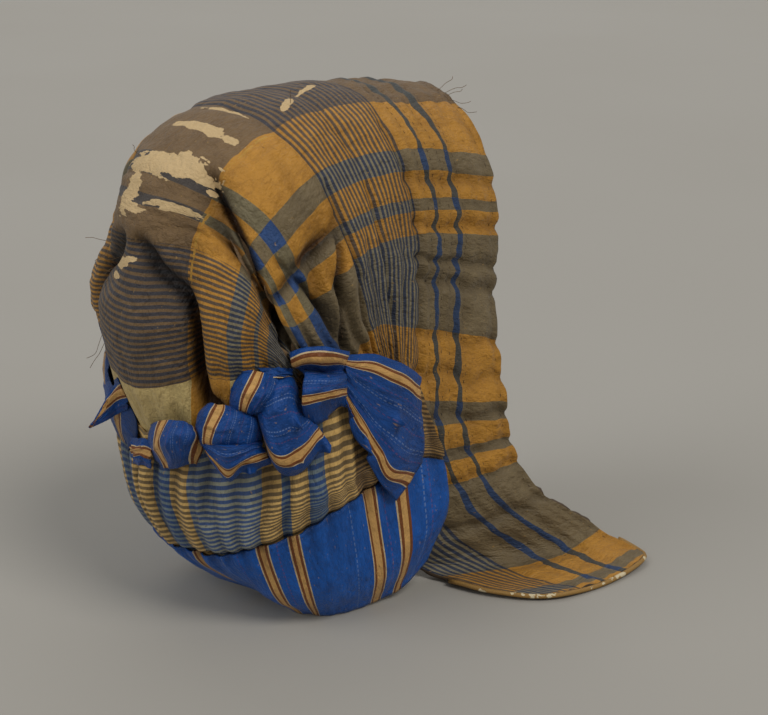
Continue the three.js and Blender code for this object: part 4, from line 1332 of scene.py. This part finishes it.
bavolet, bavoletGround = makeCurtain("bavoletCloth", 0, curtainCloth["join"] + curtainCloth["overlap"],
                                    [stripedMaterial, liningMaterial], 21)
border, _ = makeCurtain("bavoletBorder", curtainCloth["join"], curtainCloth["hem"],
                        [borderMaterial, liningMaterial], 31)
for piece, node, slot, size in ((bavolet, "bavolet", "striped_silk", (0.47, 0.085)),
                                (border, "bavolet_border", "blue_ribbon", (0.47, 0.075))):
    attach(piece, "root")
    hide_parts(node)
print("curtain made")

# The ribbon's pieces on both sides: "flat" is the ribbon's width and the length of it in each,
# and the pieces that aren't full lie closer to the cloth on the left.
ribbonPieces = [
    {"node": "ribbon_knot", "strips": ["knot"], "flat": (0.074, 0.046), "full": True},
    {"node": "ribbon_puff_ear", "strips": ["ear"], "flat": (0.074, 0.041), "full": False},
    {"node": "ribbon_fold", "strips": ["fold", "foldEdge"], "flat": (0.074, 0.021), "full": False},
    {"node": "ribbon_puff_side", "strips": ["side", "flap"], "flat": (0.074, 0.040), "full": False},
    {"node": "ribbon_puff_back", "strips": ["back"], "flat": (0.074, 0.024), "full": False},
    {"node": "ribbon_fan", "strips": ["fan"], "flat": (0.074, 0.086), "full": True},
]
ribbonRows = []
for side, word in ((-1, "right"), (1, "left")):
    for k, entry in enumerate(ribbonPieces):
        share = 1 if side < 0 or entry["full"] else ribbonTrim["farShare"]
        node, seed = f"{entry['node']}_{word}", 40 + 5 * k + side
        ribbonRows.append((node, entry["strips"], side, share, seed, entry["flat"]))
ribbonRows.append(("ribbon_band_back", ["band"], -1, 1, 80, (0.026, 0.024)))
ribbonRows.append(("ribbon_tail_left", ["tail"], -1, 1, 84, (0.030, 0.027)))
grounds = [hoodSurface["ground"], bavoletGround]
for node, strips, side, share, seed, flat in ribbonRows:
    piece = makeRibbon(node + "_cloth", strips, side, share, seed, grounds, ribbonMaterial)
    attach(piece, "root")
    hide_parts(node)
print("ribbons made")

for side, word in ((-1, "right"), (1, "left")):
    trim = makePiping(hoodSurface, side, goldMaterial)
    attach(trim, "root")
    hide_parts(f"lappet_piping_{word}")
print("piping made")

stitching = {
    "length": 2.2, "thickness": 0.42, "sink": 0.05, "drift": 1.3, "missing": 0.32,
    "rows": [
        {"along": 36, "from": 20, "to": 372, "pitch": 5.2},
        {"along": 51, "from": 20, "to": 372, "pitch": 5.6},
        {"along": 59, "from": 16, "to": 372, "pitch": 5.4},
        {"along": 72, "from": 16, "to": 372, "pitch": 5.6},
        {"along": 86, "from": 40, "to": 380, "pitch": 7.5},
        {"along": 170, "from": 42, "to": 240, "pitch": 6.0},
        {"along": 5, "from": 6, "to": 400, "pitch": 8.0},
    ],
}


def makeStitches(surface, material):
    bm = bmesh.new()
    size, radius = stitching["length"], stitching["thickness"] / 2 * mm
    for row in stitching["rows"]:
        for sign in (-1, 1):
            for k in range(int((row["to"] - row["from"]) / row["pitch"])):
                down = row["from"] + row["pitch"] * k
                drift = noise.noise(Vector((down * 0.05, row["along"], sign)))
                along = row["along"] + stitching["drift"] * drift
                skip = noise.noise(Vector((down * 0.21, row["along"] * 1.7, sign * 3)))
                if skip > stitching["missing"]:
                    continue
                first, outward = onHood(surface, along, sign * down)
                second, _ = onHood(surface, along + 0.5 * skip, sign * (down + size))
                run = (second - first).normalized()
                turn = Matrix((outward.cross(run), outward, run)).transposed().to_4x4()
                turn.translation = (first + second) / 2 - outward * stitching["sink"] * mm
                bmesh.ops.create_cone(bm, cap_ends=True, segments=5, radius1=radius, radius2=radius,
                                      depth=size * mm, matrix=turn)
    return newPiece("quiltStitches", bm, [material])


looseThreads = {
    "thickness": 0.34, "steps": 9, "curl": 5.5, "seed": 11,
    # (along, down) where each thread leaves the cloth, its length, and how it leans across x, y and z
    "threads": [
        {"at": (1, -26), "length": 15, "lean": (-0.3, -1.0, 0.15)},
        {"at": (2, -30), "length": 11, "lean": (-0.6, -0.7, 0.3)},
        {"at": (1, -36), "length": 13, "lean": (-0.4, -0.9, -0.5)},
        {"at": (4, -20), "length": 12, "lean": (-0.2, -0.8, 0.4)},
        {"at": (2, -44), "length": 12, "lean": (-0.5, -0.8, -0.6)},
        {"at": (340, 28), "length": 13, "lean": (0.5, 0.8, 0.5)},
        {"at": (346, 24), "length": 15, "lean": (0.6, 0.7, -0.2)},
        {"at": (352, 27), "length": 14, "lean": (0.5, 0.6, -0.7)},
        {"at": (358, 26), "length": 10, "lean": (0.6, 0.6, 0.5)},
        {"at": (362, 24), "length": 16, "lean": (0.5, 0.5, -0.9)},
        {"at": (344, 30), "length": 17, "lean": (0.8, 0.3, -0.5)},
        {"at": (404, 28), "length": 20, "lean": (0.35, 0.2, -1.0)},
        {"at": (412, 29), "length": 18, "lean": (0.4, 0.15, -1.0)},
        {"at": (144, -28), "length": 9, "lean": (-0.3, 0.6, 0.8)},
        {"at": (225, -36), "length": 10, "lean": (-0.7, 0.4, 0.5)},
        {"at": (233, 16), "length": 9, "lean": (0.1, 0.6, 0.8)},
    ],
}


def makeThreads(surface, material):
    steps = looseThreads["steps"]
    noise.seed_set(looseThreads["seed"])
    lines = []
    for k, thread in enumerate(looseThreads["threads"]):
        start, outward = onHood(surface, *thread["at"])
        lean = Vector(thread["lean"]).normalized() * thread["length"]
        places = []
        for share in np.linspace(0, 1, steps).tolist():
            curl = noise.noise_vector(Vector((share * 2.2, k * 3.7, 1.5))) * looseThreads["curl"] * share
            places.append(start + (outward * (0.4 + 2.5 * share) + lean * share + curl) * mm)
        lines.append(places)
    bm = roundTubes(lines, looseThreads["thickness"] / 2, 1)
    return newPiece("looseThreads", bm, [material])


strands = makeThreads(hoodSurface, strandMaterial)
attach(strands, "root")

stitches = makeStitches(hoodSurface, stitchMaterial)
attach(stitches, "root")
print("stitches made")

# Stage and light

stage = {
    "half": 14, "dark": "#9b978f", "light": "#a29f98",
    "world": (0.83, 0.83, 0.83), "worldStrength": 0.45,
}


def makeStage():
    bm = bmesh.new()
    bmesh.ops.create_grid(bm, x_segments=8, y_segments=8, size=stage["half"])
    material, tree, shader = newMaterial("paleFloor")
    coords = tree.nodes.new("ShaderNodeTexCoord")
    mottle = noiseMap(tree, coords.outputs["Object"], 1.2, 3, 0.5)
    feed(tree, shader.inputs["Base Color"], blendColour(tree, mottle, stage["dark"], stage["light"]))
    shader.inputs["Roughness"].default_value = 0.9
    floor = newPiece("floor", bm, [material], smooth=False)
    world = bpy.context.scene.world or bpy.data.worlds.new("world")
    bpy.context.scene.world = world
    world.use_nodes = True
    sky = world.node_tree.nodes["Background"]
    sky.inputs["Color"].default_value = (*stage["world"], 1)
    sky.inputs["Strength"].default_value = stage["worldStrength"]


lights = [
    {"name": "key", "turn": 268, "lift": 50, "angle": 24, "strength": 1.38, "colour": (1, 0.97, 0.93)},
    {"name": "left", "turn": 165, "lift": 38, "angle": 35, "strength": 0.80, "colour": (0.96, 0.98, 1)},
    {"name": "back", "turn": 60, "lift": 55, "angle": 40, "strength": 0.33, "colour": (1, 1, 1)},
]


def makeLights():
    for light in lights:
        data = bpy.data.lights.new(light["name"], "SUN")
        data.energy = light["strength"]
        data.angle = math.radians(light["angle"])
        data.color = light["colour"]
        lamp = bpy.data.objects.new(light["name"], data)
        bpy.context.scene.collection.objects.link(lamp)
        away = directionOf(light["turn"], light["lift"])
        lamp.rotation_euler = (-away).to_track_quat("-Z", "Y").to_euler()


makeStage()
makeLights()
bpy.context.scene.view_settings.view_transform = "Standard"
print("stage made")
